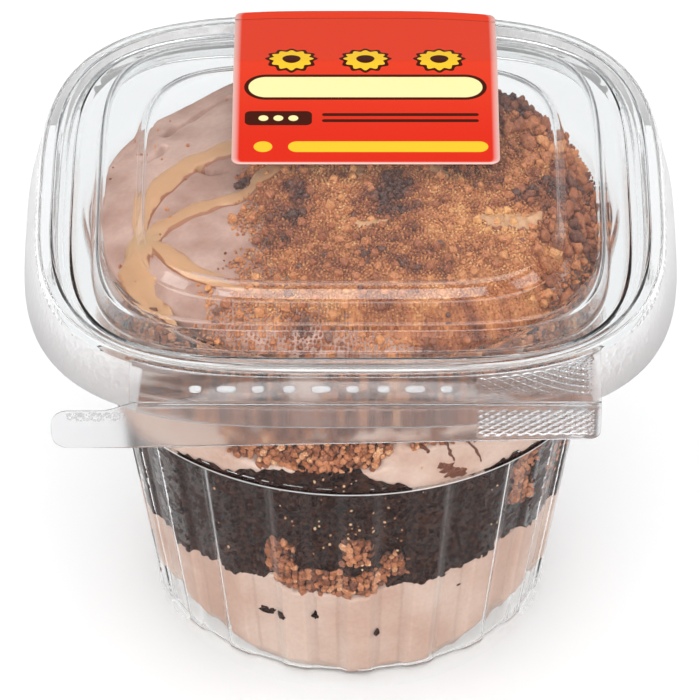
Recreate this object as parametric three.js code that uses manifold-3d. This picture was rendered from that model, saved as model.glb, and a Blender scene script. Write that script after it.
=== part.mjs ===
// A layered cake parfait in its clear snack cup, with the lid shut.
//
// Millimetres, +Z up. The origin is the centre of the ring that the cup stands on, and the tear
// strip is at the front, on the -Y side. The food fills the cup in three layers, with a heap of
// crushed pieces on top and two pockets of them against the wall.

import * as THREE from "three";
import { mergeVertices } from "three/addons/utils/BufferGeometryUtils.js";
import Module from "manifold-3d";

const wasm = await Module();
wasm.setup();

// ---- Driving dimensions ----

const WALL = 0.55; // sheet thickness of the pack
const GAP = 0.3; // clearance between pieces that touch
const SEED = 4171;

// Cup
const FOOT_RADIUS = 31.7;
const FOOT_RING = 1.4; // width of the ring it stands on
const FLOOR = 2.9; // underside of the cup's floor
const FLUTES = 20;
const FLUTE_DEPTH = 0.8;
const FLUTE_BOTTOM_RADIUS = 31.5;
const FLUTE_BOTTOM = 4.0;
const FLUTE_TOP_RADIUS = 38.2;
const FLUTE_TOP = 45.4;
const LEDGE_RADIUS = 40.9;
const LEDGE = 47.1;
const MOUTH_RADIUS = 41.6;
const FLANGE = 48.1; // half width of the rounded square flange
const FLANGE_SQUARENESS = 3.5;
const FLANGE_TOP = 74.2;
const FLANGE_LIP = 2.8; // how far the flange turns down at its edge

// Lid
const PANEL = 32.8; // half width of the raised panel
const PANEL_FOOT = 34.3;
const PANEL_SQUARENESS = 4.6;
const PANEL_DEPTH = 0.94; // depth of the panel from front to back as a share of its width
const PANEL_SHIFT = -1.7; // its centre lies this far towards the front
const PANEL_TOP = 82.2;
const PANEL_FOOT_HEIGHT = 79.9;
const DOME = 40.2;
const DOME_HEIGHT = 79.0;
const CHANNEL_INNER = 40.9;
const CHANNEL_OUTER = 43.3;
const CHANNEL = 75.2;
const RIM = 49.5;
const RIM_TOP = 77.8;
const RIM_SQUARENESS = 3.33;
const SKIRT = 52.0;
const SKIRT_BOTTOM = 69.0;
const SKIRT_SQUARENESS = 3.2;

// Tear strip and pull tab
const STRIP_LEFT = -34.2;
const STRIP_RIGHT = 38.7;
const STRIP_FRONT = 52.8; // how far the strip stands in front of the axis
const STRIP_CREASE = 74.4;
const STRIP_BOTTOM = 65.6;
const STRIP_BOTTOM_RIGHT = 67.4;
const TAB_LEFT = -46.3;
const TAB_TOP = 72.8;
const TAB_CORNER = 2.6;
const STRIP_CORNER = 1.6;
const STRIP_SHEET = 0.5;
const RAISED_BARS = 9; // plain bars moulded on the strip's upper band

// Label
const LABEL_LEFT = -19.0;
const LABEL_RIGHT = 23.8;
const LABEL_TONGUE_LEFT = -14.6;
const LABEL_TONGUE_RIGHT = 22.2;
const LABEL_FRONT = 0.2;
const LABEL_SHEET = 0.25;
const LABEL_CORNER = 1.5;

// Food
const ICING_TOP_OF_BASE = 22.6; // where the bottom icing ends and the cake begins
const CAKE_TOP = 48.2;
const ICING_EDGE = 72.4; // top icing where it meets the wall
const ICING_CROWN = 76.0;
const CRUMBLE_PIECES = 32;
const DRIZZLE_WIDTH = 4.2;
const DRIZZLE_DEPTH = 1.3;
const FOOD_RADIUS = MOUTH_RADIUS - GAP - 0.3; // at the top of the food

const CUP_STEPS = FLUTES * 4;
const LID_STEPS = 56;
const TOPPING_STEPS = FLUTES * 2;
const HEAP_STEPS = 28;
const TAPER = (FLUTE_TOP_RADIUS - FLUTE_BOTTOM_RADIUS) / (FLUTE_TOP - FLUTE_BOTTOM);

// ---- Helpers ----

// The same row of numbers between 0 and 1 on every run.
function seededRandom(seed) {
  let state = seed;
  return () => {
    state = (state + 0x6d2b79f5) | 0;
    let t = Math.imul(state ^ (state >>> 15), 1 | state);
    t = (t + Math.imul(t ^ (t >>> 7), 61 | t)) ^ t;
    return ((t ^ (t >>> 14)) >>> 0) / 4294967296;
  };
}

function mix(a, b, t) {
  return a + (b - a) * t;
}

function smooth(low, high, value) {
  const t = Math.min(Math.max((value - low) / (high - low), 0), 1);
  return t * t * (3 - 2 * t);
}

// Distance from the axis to a rounded square. Squareness 2 is a circle.
function roundedSquare(halfWidth, squareness, angle) {
  const c = Math.abs(Math.cos(angle)) ** squareness;
  const s = Math.abs(Math.sin(angle)) ** squareness;
  return halfWidth / (c + s) ** (1 / squareness);
}

// How far a rounded square reaches towards the front at x.
function frontOfSquare(halfWidth, squareness, x) {
  const share = Math.min(Math.abs(x) / halfWidth, 1);
  return halfWidth * (1 - share ** squareness) ** (1 / squareness);
}

// +1 on a flute's outer face and -1 in the groove beside it.
function flute(angle) {
  const wave = Math.SQRT2 * Math.cos(FLUTES * angle - Math.PI / 4);
  return Math.min(Math.max(wave, -1), 1);
}

// A closed solid from a geometry whose surface is closed.
function solid(geometry) {
  const bare = geometry.index ? geometry.toNonIndexed() : geometry.clone();
  bare.deleteAttribute("normal");
  bare.deleteAttribute("uv");
  const merged = mergeVertices(bare, 1e-4);
  const index = merged.index.array;
  const kept = [];
  for (let i = 0; i < index.length; i += 3) {
    const [a, b, c] = [index[i], index[i + 1], index[i + 2]];
    if (a !== b && b !== c && c !== a) kept.push(a, b, c);
  }
  const made = new wasm.Manifold(
    new wasm.Mesh({
      numProp: 3,
      vertProperties: merged.attributes.position.array,
      triVerts: new Uint32Array(kept),
    }),
  );
  return made;
}

// The part with the largest volume, without loose slivers.
function mainBody(made) {
  const bodies = made.decompose();
  bodies.sort((a, b) => b.volume() - a.volume());
  return bodies[0];
}

// Moves every vertex of a geometry with a function from (x, y, z) to a new place.
function warp(geometry, place) {
  const position = geometry.attributes.position;
  for (let i = 0; i < position.count; i++) {
    const moved = place(position.getX(i), position.getY(i), position.getZ(i));
    position.setXYZ(i, ...moved);
  }
  return geometry;
}

// A lathe around Z whose rings may be rounded squares, fluted or wavy. Each ring has a half
// width and a height, and optionally a squareness, a flute depth, a share of its width that is
// its depth from front to back, a shift along Y, and functions of the angle that raise it (lift)
// or push it out (swell). A ring with a taper also widens as it rises.
function shapedLathe(rings, steps) {
  const profile = rings.map((ring) => new THREE.Vector2(ring.width, ring.height));
  const lathe = new THREE.LatheGeometry(profile, steps);
  const position = lathe.attributes.position;
  for (let i = 0; i < position.count; i++) {
    const ring = rings[i % rings.length];
    const step = Math.floor(i / rings.length) % steps;
    const angle = (step / steps) * Math.PI * 2;
    const lift = ring.lift ? ring.lift(angle, ring.width) : 0;
    const swell = ring.swell ? ring.swell(angle, ring.width) : 0;
    const fluted = (ring.flute ?? 0) * 0.5 * flute(angle);
    const base = roundedSquare(ring.width, ring.squareness ?? 2, angle);
    const widened = base + fluted + swell + (ring.taper ?? 0) * lift;
    const radius = ring.width === 0 ? 0 : widened;
    position.setXYZ(
      i,
      radius * Math.cos(angle),
      radius * Math.sin(angle) * (ring.depth ?? 1) + (ring.shift ?? 0),
      ring.height + lift,
    );
  }
  return lathe;
}

// Turns a solid into a mesh with its own material.
function named(name, made, colour, roughness, opacity = 1) {
  const raw = made.getMesh();
  const vertices = new Float32Array(raw.numVert * 3);
  for (let i = 0; i < raw.numVert; i++) {
    vertices.set(raw.vertProperties.subarray(i * raw.numProp, i * raw.numProp + 3), i * 3);
  }
  const geometry = new THREE.BufferGeometry();
  geometry.setAttribute("position", new THREE.BufferAttribute(vertices, 3));
  geometry.setIndex(new THREE.BufferAttribute(raw.triVerts, 1));
  geometry.computeVertexNormals();
  const material = new THREE.MeshStandardMaterial({
    color: colour,
    roughness,
    metalness: 0,
    flatShading: true,
    transparent: opacity < 1,
    opacity,
  });
  const mesh = new THREE.Mesh(geometry, material);
  mesh.name = name;
  return mesh;
}

// ---- Cup ----

// Radius, height and flute depth of the cup's outer face at a height between its floor and its
// mouth. inset moves the face inwards.
function cupRing(height, inset = 0) {
  if (height <= FLUTE_TOP) {
    const t = (height - FLUTE_BOTTOM) / (FLUTE_TOP - FLUTE_BOTTOM);
    return { width: mix(FLUTE_BOTTOM_RADIUS, FLUTE_TOP_RADIUS, t) - inset, height, flute: FLUTE_DEPTH };
  }
  const t = Math.min((height - LEDGE) / (FLANGE_TOP - WALL - LEDGE), 1);
  return { width: mix(LEDGE_RADIUS, MOUTH_RADIUS + WALL, Math.max(t, 0)) - inset, height };
}

function cup() {
  const flangeUnder = FLANGE_TOP - WALL;
  const flange = { squareness: FLANGE_SQUARENESS };
  const rings = [
    { width: 0, height: FLOOR },
    { width: FOOT_RADIUS - FOOT_RING - 0.3, height: FLOOR },
    { width: FOOT_RADIUS - FOOT_RING, height: FLOOR - 0.4 },
    { width: FOOT_RADIUS - FOOT_RING + 0.1, height: 0 },
    { width: FOOT_RADIUS - 0.5, height: 0 },
    { width: FOOT_RADIUS, height: 0.8 },
    { width: FOOT_RADIUS + 0.2, height: FLOOR },
    cupRing(FLUTE_BOTTOM),
    cupRing(FLUTE_TOP),
    { width: FLUTE_TOP_RADIUS + 0.4, height: LEDGE - 0.7 },
    { width: LEDGE_RADIUS, height: LEDGE },
    cupRing(LEDGE + 1.4),
    cupRing(flangeUnder - 1.2),
    { width: MOUTH_RADIUS + WALL + 0.9, height: flangeUnder },
    { width: FLANGE - WALL, height: flangeUnder, ...flange },
    { width: FLANGE - WALL + 0.1, height: FLANGE_TOP - FLANGE_LIP, ...flange },
    { width: FLANGE + 0.1, height: FLANGE_TOP - FLANGE_LIP, ...flange },
    { width: FLANGE - 0.3, height: FLANGE_TOP, ...flange },
    { width: MOUTH_RADIUS + 0.9, height: FLANGE_TOP },
    { width: MOUTH_RADIUS, height: FLANGE_TOP - 1.4 },
    { width: LEDGE_RADIUS - WALL, height: LEDGE + WALL },
    { width: FLUTE_TOP_RADIUS + 0.4 - WALL, height: LEDGE - 0.3 },
    cupRing(FLUTE_TOP - 0.1, WALL),
    cupRing(FLUTE_BOTTOM + 0.1, WALL),
    { width: FLUTE_BOTTOM_RADIUS - WALL - 0.6, height: FLOOR + WALL },
    { width: 0, height: FLOOR + WALL },
  ];
  return solid(shapedLathe(rings, CUP_STEPS));
}

// ---- Lid ----

// The lid's outer skin from the middle to the skirt's edge, with its beads and its channel.
const ON_PANEL = { squareness: PANEL_SQUARENESS, depth: PANEL_DEPTH, shift: PANEL_SHIFT };
const LID_SKIN = [
  { width: 0, height: PANEL_TOP, ...ON_PANEL },
  { width: PANEL - 0.9, height: PANEL_TOP - 0.05, ...ON_PANEL },
  { width: PANEL, height: PANEL_TOP - 0.45, ...ON_PANEL },
  { width: PANEL_FOOT, height: PANEL_FOOT_HEIGHT, ...ON_PANEL },
  { width: DOME - 1, height: DOME_HEIGHT + 0.5, squareness: 4.9 },
  { width: DOME, height: DOME_HEIGHT - 0.3, squareness: 4.9 },
  { width: CHANNEL_INNER, height: CHANNEL, squareness: 4.8 },
  { width: CHANNEL_OUTER, height: CHANNEL, squareness: 4.3 },
  { width: CHANNEL_OUTER + 1.1, height: CHANNEL + 1.7, squareness: 4.1 },
  { width: CHANNEL_OUTER + 2.2, height: CHANNEL + 1.7, squareness: 3.9 },
  { width: CHANNEL_OUTER + 3.1, height: CHANNEL + 0.9, squareness: 3.7 },
  { width: RIM - 2, height: RIM_TOP, squareness: 3.45 },
  { width: RIM, height: RIM_TOP - 0.1, squareness: RIM_SQUARENESS },
  { width: RIM + 0.7, height: RIM_TOP - 1.5, squareness: RIM_SQUARENESS },
  { width: SKIRT, height: SKIRT_BOTTOM, squareness: SKIRT_SQUARENESS },
];

// The inner skin runs beside the outer one: below what lies flat, inside what stands.
function innerSkin(skin) {
  return skin.map((ring, i) => {
    const before = skin[Math.max(i - 1, 0)];
    const after = skin[Math.min(i + 1, skin.length - 1)];
    const run = new THREE.Vector2(after.width - before.width, after.height - before.height);
    run.normalize();
    const width = ring.width === 0 ? 0 : ring.width + run.y * WALL;
    const atEdge = i === skin.length - 1;
    const height = atEdge ? ring.height : ring.height - run.x * WALL;
    return { ...ring, width, height };
  });
}

function lid() {
  const inner = innerSkin(LID_SKIN);
  const rings = [...inner, ...LID_SKIN.slice().reverse()];
  return solid(shapedLathe(rings, LID_STEPS));
}

// ---- Tear strip ----

// The upper band runs from just outside the rim to the straight crease, so it is a narrow slope
// in the middle and a broad gusset where the rim curves away at its ends.
function upperBand() {
  const width = STRIP_RIGHT - STRIP_LEFT;
  const box = new THREE.BoxGeometry(width, 1, 1, 22, 2, 1);
  return warp(box, (x, across, through) => {
    const along = x + (STRIP_LEFT + STRIP_RIGHT) / 2;
    const t = 0.5 - across;
    const rimFront = frontOfSquare(RIM + 1.0, RIM_SQUARENESS, along);
    const front = mix(rimFront, STRIP_FRONT - 0.1, t);
    const drop = t ** 1.4;
    const height = mix(RIM_TOP - 0.35, STRIP_CREASE, drop) + (through - 0.5) * STRIP_SHEET;
    return [along, -front + (0.5 - through) * 0.2, height];
  });
}

// The lower band and the pull tab are one flat plate with rounded corners.
function lowerBand() {
  const outline = new THREE.Shape();
  const top = STRIP_CREASE;
  const tabRight = STRIP_LEFT + 4;
  outline.moveTo(TAB_LEFT + TAB_CORNER, STRIP_BOTTOM);
  outline.lineTo(STRIP_LEFT, STRIP_BOTTOM);
  outline.lineTo(STRIP_RIGHT - STRIP_CORNER, STRIP_BOTTOM_RIGHT);
  outline.quadraticCurveTo(
    STRIP_RIGHT,
    STRIP_BOTTOM_RIGHT,
    STRIP_RIGHT,
    STRIP_BOTTOM_RIGHT + STRIP_CORNER,
  );
  outline.lineTo(STRIP_RIGHT, top);
  outline.lineTo(tabRight, top);
  outline.quadraticCurveTo(tabRight - 2, TAB_TOP, tabRight - 4, TAB_TOP);
  outline.lineTo(TAB_LEFT + TAB_CORNER, TAB_TOP);
  outline.quadraticCurveTo(TAB_LEFT, TAB_TOP, TAB_LEFT, TAB_TOP - TAB_CORNER);
  outline.lineTo(TAB_LEFT, STRIP_BOTTOM + TAB_CORNER);
  outline.quadraticCurveTo(TAB_LEFT, STRIP_BOTTOM, TAB_LEFT + TAB_CORNER, STRIP_BOTTOM);
  const plate = new THREE.ExtrudeGeometry(outline, {
    depth: STRIP_SHEET,
    bevelEnabled: false,
    curveSegments: 5,
  });
  plate.rotateX(Math.PI / 2);
  plate.translate(0, -STRIP_FRONT + STRIP_SHEET, 0);
  return plate;
}

function tearStrip() {
  let strip = solid(upperBand()).add(solid(lowerBand()));
  const from = -26.4;
  const to = 17.2;
  const pitch = (to - from) / RAISED_BARS;
  for (let i = 0; i < RAISED_BARS; i++) {
    const length = pitch * (i % 3 === 1 ? 0.72 : 0.5);
    const bar = new THREE.BoxGeometry(length, 0.6, 1.5);
    bar.rotateX(-Math.atan2(STRIP_FRONT - RIM - 1, RIM_TOP - STRIP_CREASE));
    const x = from + (i + 0.5) * pitch;
    bar.translate(x, -(RIM + STRIP_FRONT + 1) / 2, (RIM_TOP + STRIP_CREASE) / 2 - 0.1);
    strip = strip.add(solid(bar));
  }
  return mainBody(strip);
}

// ---- Label ----

// Where the label lies at a distance along it: flat on the panel, down over the lid's beads to
// the back rim, and then down the skirt.
const PANEL_BACK = PANEL * PANEL_DEPTH + PANEL_SHIFT;
const LABEL_PATH = [
  [-LABEL_FRONT, PANEL_TOP + GAP],
  [PANEL_BACK - 0.4, PANEL_TOP + GAP],
  [PANEL_BACK + 0.6, PANEL_TOP + GAP - 0.25],
  [RIM - 2.4, RIM_TOP + GAP + 0.45],
  [RIM + 0.1, RIM_TOP + GAP],
  [RIM + 1.05, RIM_TOP - 0.8],
  [SKIRT + GAP - 0.05, SKIRT_BOTTOM + 1.2],
];

function labelPlace(distance) {
  let left = distance;
  for (let i = 1; i < LABEL_PATH.length; i++) {
    const [y0, z0] = LABEL_PATH[i - 1];
    const [y1, z1] = LABEL_PATH[i];
    const length = Math.hypot(y1 - y0, z1 - z0);
    if (left <= length || i === LABEL_PATH.length - 1) {
      const t = left / length;
      const normal = [-(z1 - z0) / length, (y1 - y0) / length];
      return { y: mix(y0, y1, t), z: mix(z0, z1, t), normal };
    }
    left -= length;
  }
}

function label() {
  const lengths = [0];
  for (let i = 1; i < LABEL_PATH.length; i++) {
    const [y0, z0] = LABEL_PATH[i - 1];
    const [y1, z1] = LABEL_PATH[i];
    lengths.push(lengths[i - 1] + Math.hypot(y1 - y0, z1 - z0));
  }
  const headEnd = lengths[4];
  const rounding = [0.04, 0.3, 0.65, 1].map((share) => share * LABEL_CORNER);
  const stations = [...rounding, ...lengths.slice(1, 4), headEnd - 1.2, headEnd - 0.35, headEnd];
  stations.push(...lengths.slice(5));
  stations.sort((a, b) => a - b);
  const sheet = new THREE.BoxGeometry(1, 1, 1, 6, stations.length - 1, 1);
  const bent = warp(sheet, (x, along, through) => {
    const station = Math.round((along + 0.5) * (stations.length - 1));
    const distance = stations[station];
    const fromFront = Math.min(distance, LABEL_CORNER);
    const fromBack = Math.min(headEnd - distance, LABEL_CORNER);
    const onTongue = distance >= headEnd - 1e-6;
    const nearest = onTongue ? LABEL_CORNER : Math.min(fromFront, Math.max(fromBack, 0));
    const inset = LABEL_CORNER - Math.sqrt(LABEL_CORNER ** 2 - (LABEL_CORNER - nearest) ** 2);
    const left = onTongue ? LABEL_TONGUE_LEFT : LABEL_LEFT + inset;
    const right = onTongue ? LABEL_TONGUE_RIGHT : LABEL_RIGHT - inset;
    const px = mix(left, right, x + 0.5);
    const place = labelPlace(distance);
    const rimStart = smooth(lengths[2], lengths[4], distance);
    const back = RIM - frontOfSquare(RIM, RIM_SQUARENESS, px);
    const lift = (through + 0.5) * LABEL_SHEET;
    return [px, place.y - back * rimStart + place.normal[0] * lift, place.z + place.normal[1] * lift];
  });
  return solid(bent);
}

// ---- Food ----

// The food's outer face, just inside the cup's fluted part.
function foodRing(height) {
  return cupRing(height, WALL + GAP);
}

// The food's half width at a height where it passes the step up to the ledge.
function foodAtLedge(height) {
  const below = FLUTE_TOP_RADIUS - WALL - GAP - 0.5;
  const above = LEDGE_RADIUS - WALL - GAP - 0.25;
  const t = Math.min(Math.max((height - LEDGE + 0.8) / 2.1, 0), 1);
  return mix(below, above, t);
}

// A soft rise of a line that runs round the cup, at one direction.
function rise(angle, at, spread, height) {
  const away = Math.atan2(Math.sin(angle - at), Math.cos(angle - at));
  return height * Math.exp(-((away / spread) ** 2));
}

// The uneven line where the bottom icing meets the cake: it climbs at the front right.
function baseLine(angle, width = 40) {
  const edge = Math.min(width / 30, 1);
  const waves = 0.8 * Math.sin(3 * angle + 0.4) + 0.45 * Math.sin(7 * angle + 2);
  const climb = rise(angle, -0.66, 0.36, 3.8);
  return edge * (waves + climb + 0.3 * Math.sin(13 * angle));
}

// The uneven line where the cake meets the top icing: it stands high at the front, and sags to
// the left and to the right of that.
function cakeLine(angle, width = 40) {
  const edge = Math.min(width / 30, 1);
  const waves = 1.1 * Math.sin(2 * angle + 1.2) + 0.7 * Math.sin(5 * angle + 0.5);
  const front = rise(angle, -1.65, 0.28, 5.1);
  const sags = rise(angle, -1.15, 0.16, -3.6) + rise(angle, -2.5, 0.3, -3.5);
  return edge * (waves + front + sags + 0.4 * Math.sin(11 * angle + 1));
}

// Soft folds of the spread icing on top.
function topFolds(angle, width) {
  const reach = Math.min(width / 12, 1);
  const swirl = Math.sin(angle * 2 + width * 0.16) * 0.45;
  const small = Math.sin(angle * 5 - width * 0.22 + 1) * 0.28;
  return reach * (swirl + small);
}

function layer(rings, steps = CUP_STEPS) {
  return solid(shapedLathe(rings, steps));
}

function bottomIcing() {
  const under = FLOOR + WALL + GAP;
  const lift = (angle, width) => baseLine(angle, width) - GAP;
  return layer([
    { width: 0, height: under },
    { width: FLUTE_BOTTOM_RADIUS - WALL - GAP - 0.7, height: under },
    foodRing(FLUTE_BOTTOM + 0.6),
    { ...foodRing(ICING_TOP_OF_BASE), lift, taper: TAPER },
    { width: 24, height: ICING_TOP_OF_BASE, lift },
    { width: 0, height: ICING_TOP_OF_BASE, lift: () => -GAP },
  ]);
}

// A ring of food at the step, whose half width follows its own height at each angle.
function ledgeRing(heightAt) {
  return {
    width: 1,
    height: 0,
    lift: heightAt,
    swell: (angle) => foodAtLedge(heightAt(angle)) - 1,
  };
}

function cakeLayer() {
  const low = (angle, width) => baseLine(angle, width);
  const high = (angle, width) => cakeLine(angle, width);
  const edge = (angle) => CAKE_TOP + cakeLine(angle);
  return layer([
    { width: 0, height: ICING_TOP_OF_BASE },
    { width: 24, height: ICING_TOP_OF_BASE, lift: low },
    { ...foodRing(ICING_TOP_OF_BASE), lift: low, taper: TAPER },
    foodRing(FLUTE_TOP - 3),
    ledgeRing((angle) => Math.min(edge(angle) - 0.9, LEDGE - 0.8)),
    ledgeRing((angle) => Math.min(edge(angle) - 0.5, LEDGE + 1.3)),
    ledgeRing(edge),
    { width: 30, height: CAKE_TOP, lift: high },
    { width: 0, height: CAKE_TOP },
  ]);
}

// A flat ribbon of drizzle that lies half sunk in the icing, through a few plan points.
function drizzle(plan) {
  const points = plan.map(([x, y]) => {
    const height = icingHeight(Math.hypot(x, y), Math.atan2(y, x));
    return new THREE.Vector3(x, y, height);
  });
  const section = new THREE.Shape();
  section.absellipse(0, 0, DRIZZLE_DEPTH / 2, DRIZZLE_WIDTH / 2, 0, Math.PI * 2);
  return new THREE.ExtrudeGeometry(section, {
    steps: 8,
    curveSegments: 2,
    extrudePath: new THREE.CatmullRomCurve3(points),
  });
}

// Height of the top icing at a distance from the axis: a low mound whose edge sags a little.
function icingHeight(distance, angle) {
  const share = Math.min(distance / FOOD_RADIUS, 1);
  const crown = mix(ICING_CROWN, ICING_EDGE, share ** 4);
  return crown + topFolds(angle, share * FOOD_RADIUS);
}

// The top icing, raised by a clearance where another piece is cut to lie on it. Its underside
// keeps a little more room over the rise of the cake, where its longer steps cut the corners.
function topIcing(raised = 0) {
  const room = (angle) => GAP + rise(angle, -1.65, 0.4, 0.35);
  const low = (angle, width) => cakeLine(angle, width) + room(angle);
  const edge = (angle) => CAKE_TOP + cakeLine(angle) + room(angle);
  const wall = LEDGE_RADIUS - WALL - GAP - 0.25;
  const at = (share) => ({
    width: FOOD_RADIUS * share,
    height: raised,
    lift: (angle, width) => icingHeight(width, angle),
  });
  const rings = [
    { width: 0, height: CAKE_TOP + GAP },
    { width: 30, height: CAKE_TOP, lift: low },
    ledgeRing(edge),
    ledgeRing((angle) => Math.max(edge(angle) + 0.2, LEDGE - 0.8)),
    { width: wall, height: 0, lift: (angle) => Math.max(LEDGE + 1.6, edge(angle) + 0.4) },
    foodRing(ICING_EDGE - 3),
    at(1),
    at(0.86),
    at(0.62),
    at(0.32),
    { width: 0, height: ICING_CROWN + raised },
  ];
  let icing = layer(rings, TOPPING_STEPS);
  const ribbons = [
    [[-36.5, -1], [-31, 6], [-23, 13], [-13, 16.5]],
    [[-35, -11], [-28, -4], [-20, 0.5], [-11, 2]],
    [[-36, -8], [-36, -14], [-33, -20], [-27, -26]],
    [[-31, -13], [-26, -18], [-20, -23], [-13, -27]],
  ];
  for (const ribbon of ribbons) {
    const lying = drizzle(ribbon);
    lying.translate(0, 0, raised);
    icing = icing.add(solid(lying));
  }
  return mainBody(icing);
}

// One crushed piece: a lump with its corners pushed in and out.
function crushedPiece(size, random) {
  const lump = new THREE.IcosahedronGeometry(size, 0);
  const lengths = new Map();
  return warp(lump, (x, y, z) => {
    const key = [x, y, z].map((v) => v.toFixed(3)).join();
    if (!lengths.has(key)) lengths.set(key, 0.72 + 0.5 * random());
    const s = lengths.get(key);
    return [x * s, y * s, z * s * 0.8];
  });
}

// How thick the crushed topping lies at a place: deep in the middle and at the right, thin at
// the left, where the icing shows.
function toppingDepth(x, y) {
  const cover = smooth(-24, -6, x + 0.25 * y) * smooth(44, 36, Math.hypot(x, y));
  return 0.4 + 1.7 * cover;
}

function crumbleTopping() {
  const random = seededRandom(SEED);
  const outline = (angle) => {
    const toRight = 0.5 + 0.5 * Math.cos(angle - 0.15);
    return mix(0.4, 0.93, smooth(0.0, 0.62, toRight)) + 0.03 * Math.sin(5 * angle);
  };
  const ring = (share, raise) => ({
    width: FOOD_RADIUS * share,
    height: 0,
    swell: (angle, width) => width * (outline(angle) - 1),
    lift: (angle, width) => {
      const distance = width * outline(angle);
      const floor = icingHeight(distance, angle) + (raise ? GAP + 0.25 : -1.2);
      const x = distance * Math.cos(angle);
      const y = distance * Math.sin(angle);
      return floor + (raise ? toppingDepth(x, y) : 0);
    },
  });
  const middle = (raise) => ({
    width: 0,
    height: ICING_CROWN + (raise ? GAP + 0.25 + toppingDepth(0, 0) : -1.2),
  });
  const shares = [0.34, 0.66, 0.9];
  const core = layer([
    middle(false),
    ...shares.map((share) => ring(share, false)),
    ring(0.98, false),
    ...shares.map((share) => ring(share, true)).reverse(),
    middle(true),
  ], HEAP_STEPS);
  let heap = core;
  for (let i = 0; i < CRUMBLE_PIECES; i++) {
    const angle = i * 2.39996;
    const share = Math.sqrt((i + 0.5) / CRUMBLE_PIECES) * 0.9;
    const distance = FOOD_RADIUS * share * outline(angle);
    const x = distance * Math.cos(angle);
    const y = distance * Math.sin(angle);
    const size = 1.5 + 1.3 * random();
    const piece = crushedPiece(size, random);
    piece.rotateZ(random() * 6);
    const sunk = icingHeight(distance, angle) + GAP + 0.3 + toppingDepth(x, y) - 0.25 * size;
    const ceiling = mix(PANEL_TOP, DOME_HEIGHT, smooth(27, 37, distance)) - WALL - GAP;
    piece.translate(x, y, Math.min(sunk, ceiling - size * 0.95));
    heap = heap.add(solid(piece));
  }
  return mainBody(heap.subtract(topIcing(GAP)).subtract(topIcing()));
}

// A pocket of crushed pieces pressed between the cake and the wall, as a squashed ball.
function pocketBall({ angle, height, across, tall, deep }, shrink) {
  const ball = new THREE.SphereGeometry(1, 14, 9);
  ball.scale(deep - shrink, across - shrink, tall - shrink);
  ball.rotateZ(angle);
  const wall = cupRing(height).width;
  ball.translate(wall * Math.cos(angle), wall * Math.sin(angle), height);
  return solid(ball);
}

const POCKETS = {
  crumb_pocket_front: { angle: -1.66, height: 22.8, across: 11.5, tall: 4.6, deep: 5 },
  crumb_pocket_right: { angle: -0.7, height: 39, across: 3.6, tall: 7.2, deep: 4 },
};

// The whole inside of the cup, as the pockets' outer limit.
function insideOfCup() {
  return layer([
    { width: 0, height: FLOOR + WALL + GAP },
    { width: FLUTE_BOTTOM_RADIUS - WALL - GAP - 0.7, height: FLOOR + WALL + GAP },
    foodRing(FLUTE_BOTTOM + 0.6),
    foodRing(FLUTE_TOP - 1),
    { width: 0, height: FLUTE_TOP - 1 },
  ]);
}

// ---- The whole ----

const inside = insideOfCup();
let icingBase = bottomIcing();
let cake = cakeLayer();
const icing = topIcing();
const pockets = Object.entries(POCKETS).map(([name, pocket]) => {
  const hollow = pocketBall(pocket, 0);
  icingBase = icingBase.subtract(hollow);
  cake = cake.subtract(hollow);
  return [name, mainBody(pocketBall(pocket, GAP).intersect(inside))];
});

const parfait = new THREE.Group();
parfait.name = "cake_parfait";
parfait.add(named("cup", cup(), 0xf2f4f5, 0.08, 0.3));
parfait.add(named("lid", lid(), 0xf2f4f5, 0.08, 0.3));
parfait.add(named("tear_strip", tearStrip(), 0xeef1f2, 0.12, 0.4));
parfait.add(named("label", label(), 0xe2412b, 0.35));
parfait.add(named("icing_bottom", mainBody(icingBase), 0xd8b5a5, 0.6));
parfait.add(named("cake_layer", mainBody(cake), 0x2e2222, 0.85));
parfait.add(named("icing_top", icing, 0xd2b1a1, 0.6));
parfait.add(named("crumble_topping", crumbleTopping(), 0xab7555, 0.85));
for (const [name, made] of pockets) parfait.add(named(name, made, 0xb5734f, 0.85));

export default parfait;
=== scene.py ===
"""A layered cake parfait in its shut, clear snack cup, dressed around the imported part.

Sizes in the classes are millimetres. Meshes are made in metres, in the part's own frame: the cup
stands on z = 0 and the tear strip is at the front, on the -Y side.
"""

import logging
import math
from collections.abc import Callable, Sequence
from dataclasses import dataclass, field
from enum import Enum

import bmesh
import bpy
import numpy as np
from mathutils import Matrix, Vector


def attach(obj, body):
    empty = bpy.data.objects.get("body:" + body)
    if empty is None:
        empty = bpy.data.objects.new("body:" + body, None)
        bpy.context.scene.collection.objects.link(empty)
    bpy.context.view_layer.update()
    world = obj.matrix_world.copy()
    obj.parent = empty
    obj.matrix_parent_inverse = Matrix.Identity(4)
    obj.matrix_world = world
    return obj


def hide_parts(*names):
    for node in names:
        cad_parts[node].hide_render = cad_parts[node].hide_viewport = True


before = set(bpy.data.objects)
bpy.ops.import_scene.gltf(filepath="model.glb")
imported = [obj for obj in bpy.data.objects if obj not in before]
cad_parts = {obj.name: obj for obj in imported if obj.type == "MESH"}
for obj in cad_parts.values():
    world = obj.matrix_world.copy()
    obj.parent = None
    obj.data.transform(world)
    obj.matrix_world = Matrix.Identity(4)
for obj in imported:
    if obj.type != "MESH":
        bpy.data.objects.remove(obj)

log = logging.getLogger("parfait")

MM = 0.001
TURN = 2 * math.pi
SEED = 4171
PRINT_EDGE = (-0.03, 0.05)  # how softly a printed shape ends
WALL = 38  # radius at which patterns on the wall are read
LAP = 0.05  # how far one layer of food reaches into the next
RIM_WIDTH = 40.0  # radius at which the layers meet the wall

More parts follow.
